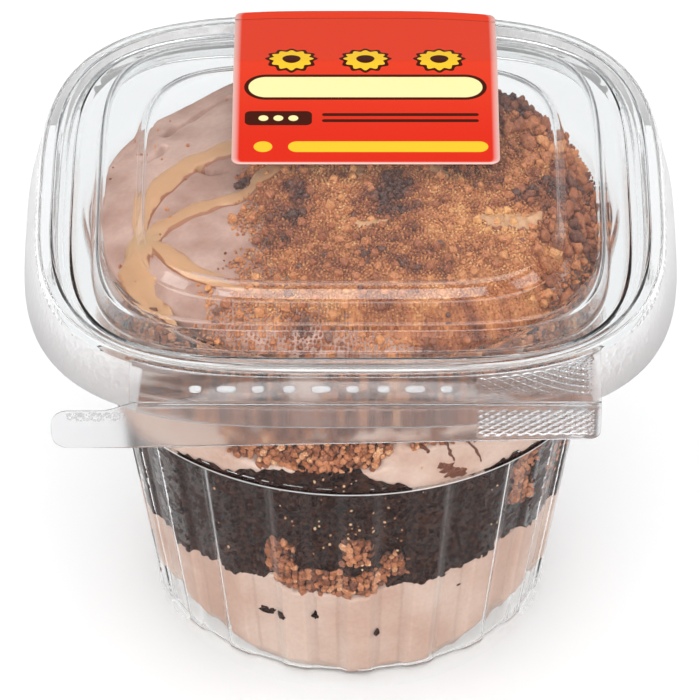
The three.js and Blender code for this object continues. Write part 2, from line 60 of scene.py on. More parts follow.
Numbers = np.ndarray
Piece = bpy.types.Object
Finish = bpy.types.Material
Tree = bpy.types.NodeTree
Node = bpy.types.Node
Socket = bpy.types.NodeSocket
Field = Callable[[Numbers, Numbers], Numbers]


# ---- Numbers ----


def tone(code: str) -> tuple[float, float, float, float]:
    """Linear red, green, blue and alpha for a display colour of six hexadecimal digits."""
    shares = [int(code[i : i + 2], 16) / 255 for i in (0, 2, 4)]
    linear = [s / 12.92 if s <= 0.04045 else ((s + 0.055) / 1.055) ** 2.4 for s in shares]
    return (*linear, 1.0)


def ease(low: float, high: float, value: Numbers) -> Numbers:
    """Smooth step from 0 at low to 1 at high."""
    share = np.clip((value - low) / (high - low), 0, 1)
    return share * share * (3 - 2 * share)


def lump_noise(points: Numbers, size: float, seed: int) -> Numbers:
    """Smooth noise between -1 and 1.

    Args:
        points: Places, one row each.
        size: How far apart its lumps are, in the unit of the points.
        seed: Which pattern.

    Returns:
        One value for each place.
    """
    place = points / size + seed * 7.31
    cell = np.floor(place).astype(np.int64)
    share = place - cell
    share = share * share * (3 - 2 * share)
    total = np.zeros(points.shape[:-1])
    for corner in range(8):
        step = np.array([corner & 1, corner >> 1 & 1, corner >> 2 & 1])
        key = (cell + step) * np.array([73856093, 19349663, 83492791])
        mixed = key[..., 0] ^ key[..., 1] ^ key[..., 2] ^ (seed * 2654435)
        mixed = (mixed ^ (mixed >> 13)) * 1274126177
        level = ((mixed >> 8) & 0xFFFF) / 32767.5 - 1
        weight = np.where(step == 1, share, 1 - share).prod(axis=-1)
        total += level * weight
    return total


def layered_noise(points: Numbers, size: float, seed: int, layers: int = 3) -> Numbers:
    """Noise with ever finer layers.

    Args:
        points: Places, one row each.
        size: Lump size of the coarsest layer.
        seed: Which pattern.
        layers: How many layers, each half as coarse as the one before.

    Returns:
        One value for each place, about -1 to 1.
    """
    total = np.zeros(points.shape[:-1])
    for i in range(layers):
        total += lump_noise(points, size / 2**i, seed + i) / 2 ** (i + 1)
    return total * 1.3


def front_of_square(half_width: float, squareness: float, x: Numbers) -> Numbers:
    """How far a rounded square reaches towards the front at x."""
    share = np.minimum(np.abs(x) / half_width, 1)
    return half_width * (1 - share**squareness) ** (1 / squareness)


def rounded_share(x: Numbers, y: Numbers, squareness: float) -> Numbers:
    """Half width of the rounded square that passes through a place."""
    return (np.abs(x) ** squareness + np.abs(y) ** squareness) ** (1 / squareness)


def turn_between(angle: Numbers, other: float) -> Numbers:
    """Difference between two directions, from -pi to pi."""
    return (angle - other + math.pi) % TURN - math.pi


def around(radius: Numbers, angle: Numbers, height: Numbers) -> Numbers:
    """Points at a radius, a direction and a height."""
    return np.stack([radius * np.cos(angle), radius * np.sin(angle), height], axis=-1)


def on_plan(x: Numbers, y: Numbers) -> Numbers:
    """Points at height 0."""
    return np.stack([x, y, np.zeros_like(x)], axis=-1)


def grid_faces(rows: int, columns: int) -> Numbers:
    """Faces of a grid of corners that run row by row."""
    i, j = np.meshgrid(np.arange(rows - 1), np.arange(columns - 1), indexing="ij")
    a = i * columns + j
    return np.stack([a, a + 1, a + columns + 1, a + columns], axis=-1).reshape(-1, 4)


def rim_faces(border: Numbers, count: int, flip: bool = False) -> Numbers:
    """Faces between a border and the same border count corners further on."""
    after = np.roll(border, -1)
    first, second = (border, after) if flip else (after, border)
    return np.stack([first, second, second + count, first + count], axis=-1)


# ---- Meshes ----


def mesh_piece(name: str, points: Numbers, faces: Numbers | list[list[int]], smooth: bool = True) -> Piece:
    """Makes an object from points in millimetres.

    Args:
        name: The object's name.
        points: Corners, one row each.
        faces: Corner numbers, one row each.
        smooth: Whether its faces are shaded smooth.

    Returns:
        The object, linked to the scene, at the origin.
    """
    mesh = bpy.data.meshes.new(name)
    rows = faces.tolist() if isinstance(faces, np.ndarray) else faces
    mesh.from_pydata((np.asarray(points) * MM).tolist(), [], rows)
    mesh.update()
    piece = placed(name, mesh)
    if smooth:
        mesh.shade_smooth()
    return piece


def placed(name: str, data: bpy.types.ID) -> Piece:
    """Puts an object with its data into the scene."""
    piece = bpy.data.objects.new(name, data)
    bpy.context.scene.collection.objects.link(piece)
    return piece


def corners(piece: Piece) -> Numbers:
    """The corners of a mesh in millimetres, one row each."""
    flat = np.empty(len(piece.data.vertices) * 3)
    piece.data.vertices.foreach_get("co", flat)
    return flat.reshape(-1, 3) / MM


def put_corners(piece: Piece, points: Numbers) -> None:
    """Moves the corners of a mesh to new places in millimetres."""
    piece.data.vertices.foreach_set("co", (points * MM).ravel())
    piece.data.update()


def note(piece: Piece, name: str, values: Numbers) -> None:
    """Stores one number for each corner of a mesh.

    Args:
        piece: The object.
        name: Name of the attribute.
        values: One number, or one row of three numbers, for each corner.
    """
    values = np.asarray(values, dtype=np.float32)
    kind, slot = ("FLOAT_VECTOR", "vector") if values.ndim == 2 else ("FLOAT", "value")
    made = piece.data.attributes.new(name, kind, "POINT")
    made.data.foreach_set(slot, values.ravel())


def face_out(piece: Piece) -> None:
    """Turns a closed mesh round if its faces point inwards, after its doubles are merged."""
    work = bmesh.new()
    work.from_mesh(piece.data)
    bmesh.ops.remove_doubles(work, verts=work.verts, dist=1e-7)
    if work.calc_volume(signed=True) < 0:
        bmesh.ops.reverse_faces(work, faces=work.faces)
    work.to_mesh(piece.data)
    work.free()
    piece.data.update()


def loop_faces(rings: int, steps: int) -> Numbers:
    """Faces of a lathe with that many rings and steps, whose corners run ring by ring."""
    i, j = np.meshgrid(np.arange(rings - 1), np.arange(steps), indexing="ij")
    nxt = (j + 1) % steps
    quad = [i * steps + j, i * steps + nxt, (i + 1) * steps + nxt, (i + 1) * steps + j]
    return np.stack(quad, axis=-1).reshape(-1, 4)


def sheet_piece(name: str, outer: Numbers, inner: Numbers) -> Piece:
    """A closed thin sheet between two grids of points.

    Args:
        name: The object's name.
        outer: Grid of points of its outer face, rows by columns.
        inner: The same grid for its inner face.

    Returns:
        The object, whose corners are those of the outer grid and then of the inner one.
    """
    rows, columns = outer.shape[:2]
    face = grid_faces(rows, columns)
    count = rows * columns
    index = np.arange(count).reshape(rows, columns)
    border = np.concatenate([index[0], index[1:, -1], index[-1, -2::-1], index[-2:0:-1, 0]])
    points = np.concatenate([outer.reshape(-1, 3), inner.reshape(-1, 3)])
    return mesh_piece(name, points, np.concatenate([face, face[:, ::-1] + count, rim_faces(border, count)]))


def dressed(piece: Piece, material: Finish) -> Piece:
    """Gives a piece its material."""
    piece.data.materials.append(material)
    return piece


def second_finish(piece: Piece, material: Finish, chosen: Callable[[Numbers], Numbers]) -> None:
    """Gives a piece a second material on the faces that chosen picks by their middles, in millimetres."""
    middles = np.empty(len(piece.data.polygons) * 3, dtype=np.float32)
    piece.data.polygons.foreach_get("center", middles)
    piece.data.materials.append(material)
    faces = chosen(middles.reshape(-1, 3) / MM)
    piece.data.polygons.foreach_set("material_index", faces.astype(np.int32))


def grid_normals(grid: Numbers) -> Numbers:
    """Unit normals of a grid of points, rows by columns."""
    along = np.gradient(grid, axis=1)
    across = np.gradient(grid, axis=0)
    normal = np.cross(along, across)
    return normal / np.maximum(np.linalg.norm(normal, axis=-1, keepdims=True), 1e-9)


# ---- Node trees ----


class Signal:
    """What comes out of a node, so that a tree's sums can be written as formulas."""

    def __init__(self, socket: Socket) -> None:
        """Keeps the socket."""
        self.socket = socket

    def __add__(self, other: "float | Signal") -> "Signal":
        """Sum of two signals."""
        return maths("ADD", self, other)

    def __sub__(self, other: "float | Signal") -> "Signal":
        """Difference of two signals."""
        return maths("SUBTRACT", self, other)

    def __mul__(self, other: "float | Signal") -> "Signal":
        """Product of two signals."""
        return maths("MULTIPLY", self, other)

    def __truediv__(self, other: "float | Signal") -> "Signal":
        """Share of two signals."""
        return maths("DIVIDE", self, other)

    def remap(self, low: float, high: float, to_low: float = 0.0, to_high: float = 1.0) -> "Signal":
        """Moves values from low and high to two others, smoothly and no further."""
        inputs = {0: self, 1: low, 2: high, 3: to_low, 4: to_high}
        return signal(self.socket.id_data, "MapRange", inputs, interpolation_type="SMOOTHSTEP")

    def blend(self, first: "Value", second: "Value", mode: str = "MIX") -> "Signal":
        """Blends two colours, with this signal as the share of the second."""
        inputs = {0: self, 6: first, 7: second}
        made = add_node(self.socket.id_data, "ShaderNodeMix", data_type="RGBA", blend_type=mode)
        return Signal(feed(made, inputs).outputs[2])


Value = float | int | str | Sequence[float] | Signal | Finish | Piece
Group = tuple[Tree, dict[str, Signal], Node]


def feed(node: Node, inputs: dict[str | int, Value]) -> Node:
    """Sets or links inputs of a node.

    Args:
        node: The node.
        inputs: Values or signals by input name or number.

    Returns:
        The same node.
    """
    for key, value in inputs.items():
        if isinstance(value, Signal):
            node.id_data.links.new(value.socket, node.inputs[key])
        else:
            node.inputs[key].default_value = value
    return node


def add_node(tree: Tree, kind: str, inputs: dict[str | int, Value] | None = None, **settings: object) -> Node:
    """Adds a node, with its settings and what goes into it.

    Args:
        tree: The tree.
        kind: The node's type.
        inputs: Values or signals by input name or number.
        settings: Properties of the node.

    Returns:
        The node.
    """
    made = tree.nodes.new(kind)
    for key, value in settings.items():
        setattr(made, key, value)
    return feed(made, inputs or {})


def signal(tree: Tree, kind: str, inputs: dict[str | int, Value] | None = None, **settings: object) -> Signal:
    """Adds a shader node, named without its prefix, and gives its first output."""
    return Signal(add_node(tree, "ShaderNode" + kind, inputs, **settings).outputs[0])


def maths(operation: str, *values: float | Signal, clamp: bool = False) -> Signal:
    """Adds a Math node.

    Args:
        operation: What it does.
        values: Numbers or signals, at least one of them a signal.
        clamp: Whether the result stays between 0 and 1.

    Returns:
        Its result.
    """
    tree = next(value for value in values if isinstance(value, Signal)).socket.id_data
    return signal(tree, "Math", dict(enumerate(values)), operation=operation, use_clamp=clamp)


def split(vector: Signal) -> list[Signal]:
    """The three parts of a vector."""
    made = add_node(vector.socket.id_data, "ShaderNodeSeparateXYZ", {0: vector})
    return [Signal(socket) for socket in made.outputs]


def open_tree(kind: str, name: str, inputs: dict[str, float | str], outputs: Sequence[str]) -> Group:
    """Starts a node group with named sockets.

    Args:
        kind: Type of tree.
        name: Its name.
        inputs: Number that each input starts from, or the kind of its socket.
        outputs: Name of each output; Geometry and Normal are not numbers.

    Returns:
        The tree, its inputs by name, and its output node.
    """
    tree = bpy.data.node_groups.new(name, kind)
    for label, start in inputs.items():
        made = start if isinstance(start, str) else "Int" if isinstance(start, int) else "Float"
        socket = tree.interface.new_socket(label, in_out="INPUT", socket_type="NodeSocket" + made)
        if not isinstance(start, str):
            socket.default_value = start
    for label in outputs:
        made = {"Geometry": "Geometry", "Normal": "Vector"}.get(label, "Float")
        tree.interface.new_socket(label, in_out="OUTPUT", socket_type="NodeSocket" + made)
    given = {socket.name: Signal(socket) for socket in tree.nodes.new("NodeGroupInput").outputs if socket.name}
    return tree, given, tree.nodes.new("NodeGroupOutput")


def geometry_tree(name: str, inputs: dict[str, float | str]) -> Group:
    """Starts a geometry tree that takes a mesh and a material as well."""
    sockets = {"Geometry": "Geometry", **inputs, "Material": "Material"}
    return open_tree("GeometryNodeTree", name, sockets, ["Geometry"])


def reading(tree: Tree, name: str, kind: str = "FLOAT") -> Signal:
    """Reads a stored attribute in a geometry tree."""
    made = add_node(tree, "GeometryNodeInputNamedAttribute", {"Name": name}, data_type=kind)
    return Signal(next(s for s in made.outputs if s.enabled and s.name == "Attribute"))


def shape_node(tree: Tree, kind: str, inputs: dict[str | int, Value], **settings: object) -> Signal:
    """Adds a geometry node, named without its prefix, and gives its first output."""
    return Signal(add_node(tree, "GeometryNode" + kind, inputs, **settings).outputs[0])


def finish_tree(tree: Tree, end: Node, geometry: Signal, material: Signal) -> None:
    """Ends a geometry tree in Realize Instances and Set Material."""
    real = shape_node(tree, "RealizeInstances", {"Geometry": geometry})
    feed(end, {0: shape_node(tree, "SetMaterial", {"Geometry": real, "Material": material})})


def scaled(vector: Signal, scale: Signal) -> Signal:
    """A vector times a number."""
    return signal(vector.socket.id_data, "VectorMath", {0: vector, "Scale": scale}, operation="SCALE")


def grow(piece: Piece, tree: Tree, values: dict[str, Value]) -> Piece:
    """Runs a geometry tree on an object and keeps the result as its plain mesh.

    Args:
        piece: The object.
        tree: The geometry tree.
        values: Inputs by name.

    Returns:
        The same object with the new mesh and no modifier.
    """
    modifier = piece.modifiers.new(tree.name, "NODES")
    modifier.node_group = tree
    for item in tree.interface.items_tree:
        if item.item_type == "SOCKET" and item.in_out == "INPUT" and item.name in values:
            modifier[item.identifier] = values[item.name]
    graph = bpy.context.evaluated_depsgraph_get()
    mesh = bpy.data.meshes.new_from_object(piece.evaluated_get(graph), depsgraph=graph)
    piece.modifiers.remove(modifier)
    piece.data = mesh
    mesh.name = piece.name
    return piece


# ---- Shader groups ----


class Effect(Enum):
    """Shader effects that several materials share."""

    SHEET_RIPPLE = "sheet_ripple"
    FINE_GRAIN = "fine_grain"
    SOFT_MOTTLE = "soft_mottle"
    ROUNDED_BAR = "rounded_bar"
    SCALLOPED_DISC = "scalloped_disc"


@dataclass
class EffectShelf:
    """Builds each shared effect once and places it in the materials."""

    built: dict[Effect, Tree] = field(default_factory=dict)

    def place(self, effect: Effect, vector: Signal, **inputs: float) -> dict[str, Signal]:
        """Adds an effect to a material.

        Args:
            effect: Which effect.
            vector: The place on the piece.
            inputs: Its other values, with an underscore where a name has a space.

        Returns:
            Its outputs by name.
        """
        if effect not in self.built:
            food = (self._sheet_ripple, self._fine_grain, self._soft_mottle)
            makers = dict(zip(Effect, (*food, self._rounded_bar, self._scalloped_disc)))
            self.built[effect] = makers[effect]()
        node = add_node(vector.socket.id_data, "ShaderNodeGroup", node_tree=self.built[effect])
        feed(node, {"Vector": vector, **{key.replace("_", " "): value for key, value in inputs.items()}})
        return {socket.name: Signal(socket) for socket in node.outputs}

    def _start(self, effect: Effect, inputs: dict[str, float], *outputs: str) -> Group:
        """Starts the group of an effect, which reads a place besides its numbers."""
        return open_tree("ShaderNodeTree", effect.value, {"Vector": "Vector", **inputs}, outputs)

    def _sheet_ripple(self) -> Tree:
        """Gentle waves that a sheet keeps from being drawn over its mould."""
        tree, given, end = self._start(Effect.SHEET_RIPPLE, {"Scale": 60.0, "Depth": 0.1}, "Normal")
        wave = signal(tree, "TexNoise", {"Vector": given["Vector"], "Scale": given["Scale"], "Detail": 1.0})
        feed(end, {0: bumped(wave, given["Depth"], 0.001)})
        return tree

    def _fine_grain(self) -> Tree:
        """Crumbly grain: cells with pits between them."""
        tree, given, end = self._start(Effect.FINE_GRAIN, {"Cells": 900.0, "Dust": 2400.0}, "Height", "Mask")
        cells = signal(tree, "TexVoronoi", {"Vector": given["Vector"], "Scale": given["Cells"]})
        dust = signal(tree, "TexNoise", {"Vector": given["Vector"], "Scale": given["Dust"], "Detail": 3.0})
        feed(end, {0: maths("SUBTRACT", 1.0, cells) * 0.6 + dust * 0.4, 1: dust.remap(0.35, 0.68)})
        return tree

    def _soft_mottle(self) -> Tree:
        """Broad soft patches."""
        tree, given, end = self._start(Effect.SOFT_MOTTLE, {"Scale": 80.0, "Low": 0.35, "High": 0.65}, "Mask")
        noise = {"Vector": given["Vector"], "Scale": given["Scale"], "Detail": 3.0, "Roughness": 0.5}
        feed(end, {0: signal(tree, "TexNoise", noise).remap(given["Low"], given["High"])})
        return tree

    def _print(self, effect: Effect, sizes: dict[str, float]) -> tuple[Tree, dict[str, Signal], Node, list[Signal]]:
        """Starts a printed shape in millimetres, and gives the way from its centre as well."""
        tree, given, end = self._start(effect, {"Centre X": 0.0, "Centre Y": 0.0, **sizes}, "Mask")
        x, y, _ = split(given["Vector"])
        return tree, given, end, [x - given["Centre X"], y - given["Centre Y"]]

    def _rounded_bar(self) -> Tree:
        """A printed bar with round corners."""
        sizes = {"Half Width": 5.0, "Half Height": 1.0, "Radius": 0.5}
        tree, given, end, way = self._print(Effect.ROUNDED_BAR, sizes)
        halves = (given["Half Width"], given["Half Height"])
        past = [
            maths("MAXIMUM", maths("ABSOLUTE", part) - (half - given["Radius"]), 0.0)
            for part, half in zip(way, halves)
        ]
        feed(end, {0: (given["Radius"] - length(*past)).remap(*PRINT_EDGE)})
        return tree

    def _scalloped_disc(self) -> Tree:
        """A printed disc with a scalloped edge."""
        sizes = {"Radius": 3.0, "Scallop": 0.2, "Lobes": 12.0}
        tree, given, end, (dx, dy) = self._print(Effect.SCALLOPED_DISC, sizes)
        wave = maths("COSINE", maths("ARCTAN2", dy, dx) * given["Lobes"])
        edge = given["Radius"] + wave * given["Scallop"]
        feed(end, {0: (edge - length(dx, dy)).remap(*PRINT_EDGE)})
        return tree


def length(x: Signal, y: Signal) -> Signal:
    """Length of a way of two parts."""
    return maths("SQRT", maths("POWER", x, 2.0) + maths("POWER", y, 2.0))


def bumped(height: Signal, strength: float | Signal, distance: float) -> Signal:
    """Adds a Bump node and gives its normal."""
    inputs = {"Strength": strength, "Distance": distance, "Height": height}
    return signal(height.socket.id_data, "Bump", inputs)


EFFECTS = EffectShelf()


# ---- Finishes ----


def fresh_material(name: str) -> tuple[Finish, Node]:
    """Starts a material, and gives its Principled node as well."""
    material = bpy.data.materials.new(name)
    material.use_nodes = True
    return material, material.node_tree.nodes["Principled BSDF"]


def own_place(material: Finish) -> Signal:
    """The place on the piece itself, in metres."""
    return Signal(material.node_tree.nodes.new("ShaderNodeTexCoord").outputs["Object"])


def stored(tree: Tree, name: str) -> Signal:
    """Reads a number that a piece carries at each corner."""
    return Signal(add_node(tree, "ShaderNodeAttribute", attribute_name=name).outputs["Fac"])


def soft_inside(weight: float, radius: tuple[float, float, float], scale: float = 0.4) -> dict[str, Value]:
    """Settings of a food that light goes a little way into."""
    return {"Subsurface Weight": weight, "Subsurface Radius": radius, "Subsurface Scale": scale}


@dataclass(frozen=True)
class ClearSheet:
    """Clear, glossy drawn sheet."""

    name: str
    tint: str = "FAFBFB"
    roughness: float = 0.02
    ior: float = 1.46
    ripple: float = 0.12
    ripple_scale: float = 55.0
    lamp_pass: float = 0.97

    def build(self) -> Finish:
        """Builds the material; lamps shine through it so that the food is lit."""
        material, main = fresh_material(self.name)
        place = own_place(material)
        ripple = EFFECTS.place(Effect.SHEET_RIPPLE, place, Scale=self.ripple_scale, Depth=self.ripple)
        surface = {"Base Color": tone(self.tint), "Roughness": self.roughness, "IOR": self.ior}
        feed(main, {**surface, "Transmission Weight": 1.0, "Normal": ripple["Normal"]})
        tree = material.node_tree
        open_air = signal(tree, "BsdfTransparent", {"Color": (*(self.lamp_pass,) * 3, 1.0)})
        lamp_ray = Signal(tree.nodes.new("ShaderNodeLightPath").outputs["Is Shadow Ray"])
        both = signal(tree, "MixShader", {0: lamp_ray, 1: Signal(main.outputs[0]), 2: open_air})
        feed(tree.nodes["Material Output"], {"Surface": both})
        return material


@dataclass(frozen=True)
class HazeAndHighlightSheet:
    """Clear plastic with a white share: painted highlight on the relief moulded on the clear sheet and on the ledge's
    bend, and haze on the skirt.
    """

    name: str = "frosted_relief"
    clear: float = 0.6
    roughness: float = 0.14

    def build(self) -> Finish:
        """Builds the material."""
        material, main = fresh_material(self.name)
        place = own_place(material)
        ripple = EFFECTS.place(Effect.SHEET_RIPPLE, place, Scale=900.0, Depth=0.3)
        # The white base, only partly let through, is a painted highlight on the relief and the ledge's bend, and haze
        # on the skirt.
        surface = {"Base Color": tone("FBFAFA"), "Roughness": self.roughness, "IOR": 1.5}
        feed(main, {**surface, "Transmission Weight": self.clear, "Normal": ripple["Normal"]})
        return material


@dataclass(frozen=True)
class LabelPrint:
    """Coated paper with fields of colour and plain shapes."""

    name: str = "label_print"
    ground: str = "DA2E1C"
    band: str = "DF3F26"
    paper: str = "F3C9BF"
    cream: str = "F8E9A6"
    yellow: str = "F2C230"
    brown: str = "43190F"

    def build(self) -> Finish:
        """Builds the material on the label's own map, whose unit is 100 mm."""
        material, main = fresh_material(self.name)
        tree = material.node_tree
        chart = signal(tree, "UVMap", uv_map="label_map")
        place = signal(tree, "Mapping", {"Vector": chart, "Scale": (100.0, 100.0, 100.0)})
        colour = split(place)[1].remap(4.0, 30.0).blend(tone(self.ground), tone(self.band))
        for shape, code in self._shapes(place):
            colour = shape.blend(colour, tone(code))
        colour = stored(tree, "label_rim").blend(colour, tone(self.paper))
        fibre = signal(tree, "TexNoise", {"Vector": place, "Scale": 3.0, "Detail": 4.0, "Roughness": 0.55})
        colour = fibre.remap(0.3, 0.75, 0.0, 0.08).blend(colour, tone("FFFFFF"), "SOFT_LIGHT")
        normal = bumped(fibre, 0.06, 0.0002)
        surface = {"Base Color": colour, "Roughness": fibre.remap(0.2, 0.8, 0.3, 0.4), "Normal": normal}
        feed(main, {**surface, "Specular IOR Level": 0.03})
        return material

    def _shapes(self, place: Signal) -> list[tuple[Signal, str]]:
        """The printed shapes from the lowest layer up.

        Args:
            place: Place on the label in millimetres.

        Returns:
            Mask and colour of each shape.
        """
        bars = (
            (2.4, 21.4, 19.6, 3.6, 3.6, self.brown),
            (2.4, 21.4, 18.9, 2.9, 2.9, self.cream),
            (-11.6, 12.6, 5.4, 2.0, 1.0, self.brown),
            (8.0, 13.6, 12.6, 0.42, 0.4, self.brown),
            (8.0, 11.9, 12.6, 0.42, 0.4, self.brown),
            (6.0, 4.6, 16.0, 1.5, 1.5, self.yellow),
            (-14.0, 4.6, 1.5, 1.5, 1.5, self.yellow),
        )
        flower = ((4.0, 0.3, 12.0, self.brown), (3.3, 0.3, 12.0, self.yellow), (1.5, 0.0, 8.0, self.brown))
        discs = [(x, 29.8, *ring) for x in (-9.6, 2.4, 14.4) for ring in flower]
        discs += [(x, 12.6, 0.8, 0.0, 8.0, self.cream) for x in (-11.6, -14.0, -9.2)]
        made: list[tuple[Signal, str]] = []
        for effect, names, shapes in (
            (Effect.ROUNDED_BAR, ("Centre_X", "Centre_Y", "Half_Width", "Half_Height", "Radius"), bars),
            (Effect.SCALLOPED_DISC, ("Centre_X", "Centre_Y", "Radius", "Scallop", "Lobes"), discs),
        ):
            for *sizes, code in shapes:
                made.append((EFFECTS.place(effect, place, **dict(zip(names, sizes)))["Mask"], code))
        return made


@dataclass(frozen=True)
class WhippedIcing:
    """Smooth pinkish tan icing with a soft sheen; its top is painted a little darker, as painted shade under the lid.
    """

    name: str
    light: str = "D0B8AA"
    deep: str = "BC9A89"
    # Colours of the top: painted shade under the lid.
    shaded_top_pale: str = "C4A294"
    shaded_top_deep: str = "A07868"
    shaded_top_height: float = 0.070
    scale: float = 70.0
    gloss: float = 0.42

    def build(self) -> Finish:
        """Builds the material."""
        material, main = fresh_material(self.name)
        place = own_place(material)
        patches = EFFECTS.place(Effect.SOFT_MOTTLE, place, Scale=self.scale, Low=0.3, High=0.72)["Mask"]
        pores = EFFECTS.place(Effect.FINE_GRAIN, place, Cells=700.0, Dust=1500.0)
        # Painted shade: above this height the icing takes the darker top colours.
        upper = split(place)[2].remap(self.shaded_top_height - 0.004, self.shaded_top_height)
        light = upper.blend(tone(self.light), tone(self.shaded_top_pale))
        deep = upper.blend(tone(self.deep), tone(self.shaded_top_deep))
        colour = (pores["Mask"] * 0.12).blend(patches.blend(light, deep), deep, "MULTIPLY")
        rough = patches.remap(0.0, 1.0, self.gloss, self.gloss + 0.14)
        surface = {"Base Color": colour, "Roughness": rough, "Normal": bumped(pores["Height"], 0.12, 0.0003)}
        feed(main, {**surface, **soft_inside(0.12, (0.003, 0.002, 0.0015))})
        return material


@dataclass(frozen=True)
class ChocolateCake:
    """Moist, near-black cake with pits and pale specks."""

    name: str = "chocolate_cake"
    dark: str = "130B0A"
    mid: str = "271813"
    crumb: str = "583529"

    def build(self) -> Finish:
        """Builds the material."""
        material, main = fresh_material(self.name)
        place = own_place(material)
        grain = EFFECTS.place(Effect.FINE_GRAIN, place, Cells=620.0, Dust=1300.0)
        patches = EFFECTS.place(Effect.SOFT_MOTTLE, place, Scale=240.0, Low=0.35, High=0.7)["Mask"]
        colour = (grain["Mask"] * 0.5).blend(patches.blend(tone(self.dark), tone(self.mid)), tone(self.crumb))
        rough = grain["Mask"].remap(0.0, 1.0, 0.95, 0.75)
        surface = {"Base Color": colour, "Roughness": rough, "Normal": bumped(grain["Height"], 1.0, 0.0009)}
        feed(main, {**surface, "Specular IOR Level": 0.15})
        return material


SWEET_TONES = ((0.0, "DEA466"), (0.28, "C68150"), (0.55, "9C5833"), (0.8, "6C3C28"), (1.0, "46241A"))
DUST_TONES = ((0.0, "EAB880"), (0.4, "C98852"), (0.8, "8A5036"), (1.0, "5A3024"))
PRESSED_TONES = ((0.0, "E0B68C"), (0.15, "C2825A"), (0.4, "A0603C"), (0.65, "6E3C26"), (1.0, "2E1810"))
CHIP_TONES = ((0.0, "8A5A44"), (0.5, "6C4232"), (1.0, "4E2E24"))


@dataclass(frozen=True)
class CrushedSweet:
    """Crushed pieces, each with its own shade and small shiny facets."""

    name: str
    stops: tuple[tuple[float, str], ...]
    gloss: float = 0.45

    def build(self) -> Finish:
        """Builds the material on the shade that each piece carries."""
        material, main = fresh_material(self.name)
        place = own_place(material)
        grain = EFFECTS.place(Effect.FINE_GRAIN, place, Cells=1500.0, Dust=3600.0)
        shade = stored(material.node_tree, "shade")
        varied = maths("ADD", shade, (grain["Mask"] - 0.5) * 0.22, clamp=True)
        rough = grain["Mask"].remap(0.0, 1.0, self.gloss + 0.2, self.gloss)
        normal = bumped(grain["Height"], 0.5, 0.0004)
        surface = {"Base Color": self._ramp(varied), "Roughness": rough, "Normal": normal}
        feed(main, {**surface, **soft_inside(0.08, (0.002, 0.001, 0.0006))})
        return material

    def _ramp(self, value: Signal) -> Signal:
        """Picks the colour between the stops."""
        made = add_node(value.socket.id_data, "ShaderNodeValToRGB", {0: value})
        made.color_ramp.interpolation = "EASE"
        points = made.color_ramp.elements
        while len(points) < len(self.stops):
            points.new(0.5)
        for point, (place, code) in zip(points, self.stops):
            point.position = place
            point.color = tone(code)
        return Signal(made.outputs[0])


@dataclass(frozen=True)
class NutDrizzle:
    """Golden nut sauce, browner at its edges, most of all at the edge towards the front."""

    name: str = "nut_drizzle"
    middle: str = "C4956C"
    patch: str = "AE7C50"
    edge: str = "8E4A28"

    def build(self) -> Finish:
        """Builds the material on the share from the middle to the edge."""
        material, main = fresh_material(self.name)
        place = own_place(material)
        patches = EFFECTS.place(Effect.SOFT_MOTTLE, place, Scale=260.0, Low=0.3, High=0.75)["Mask"]
        wander = stored(material.node_tree, "outward") + (patches - 0.5) * 0.35
        colour = wander.remap(0.56, 0.74).blend(tone(self.middle), tone(self.edge))
        colour = (patches * 0.35).blend(colour, tone(self.patch))
        grain = EFFECTS.place(Effect.FINE_GRAIN, place, Cells=900.0, Dust=1800.0)
        rough = patches.remap(0.0, 1.0, 0.28, 0.42)
        surface = {"Base Color": colour, "Roughness": rough, "Normal": bumped(grain["Height"], 0.1, 0.0003)}
        feed(main, {**surface, **soft_inside(0.2, (0.004, 0.002, 0.001), 0.5)})
        return material


# ---- Pressed sheets ----


@dataclass(frozen=True)
class Ring:
    """One ring of a pressed sheet, in millimetres."""

    width: float
    height: float
    squareness: float = 2.0
    flute: float = 0.0
    depth: float = 1.0
    shift: float = 0.0

    def row(self) -> tuple[float, ...]:
        """The ring as a row of numbers."""
        return (self.width, self.height, self.squareness, self.flute, self.depth, self.shift)


def soften(rows: Numbers, radius: float) -> Numbers:
    """Rounds each bend of a profile.

    Args:
        rows: Rings as rows of numbers.
        radius: How far from a bend its rounding starts, where there is room.

    Returns:
        More rows, with four in each bend and one at each side of it.
    """
    made = [rows[0]]
    for before, here, after in zip(rows[:-2], rows[1:-1], rows[2:]):
        back = math.dist(before[:2], here[:2])
        ahead = math.dist(here[:2], after[:2])
        start = here + (before - here) * min(radius / max(back, 1e-9), 0.42)
        stop = here + (after - here) * min(radius / max(ahead, 1e-9), 0.42)
        if back > radius * 3:
            made.append(here + (before - here) * (radius * 1.25 / back))
        made += [start * (1 - t) ** 2 + here * 2 * t * (1 - t) + stop * t * t for t in (0.0, 0.33, 0.67, 1.0)]
        if ahead > radius * 3:
            made.append(here + (after - here) * (radius * 1.25 / ahead))
    made.append(rows[-1])
    return np.array(made)


def inner_skin(rows: Numbers, wall: float) -> Numbers:
    """The inner face of a sheet whose outer face is given.

    Args:
        rows: Rings of the outer face, from the middle outwards.
        wall: Thickness of the sheet.

    Returns:
        The same rings, moved in.
    """
    run = np.gradient(rows[:, :2], axis=0)
    run /= np.linalg.norm(run, axis=1, keepdims=True)
    moved = rows.copy()
    moved[:, 0] += np.where(rows[:, 0] < 1e-6, 0, run[:, 1] * wall)
    moved[:, 1] -= run[:, 0] * wall
    moved[-1, 1] = rows[-1, 1]
    return moved


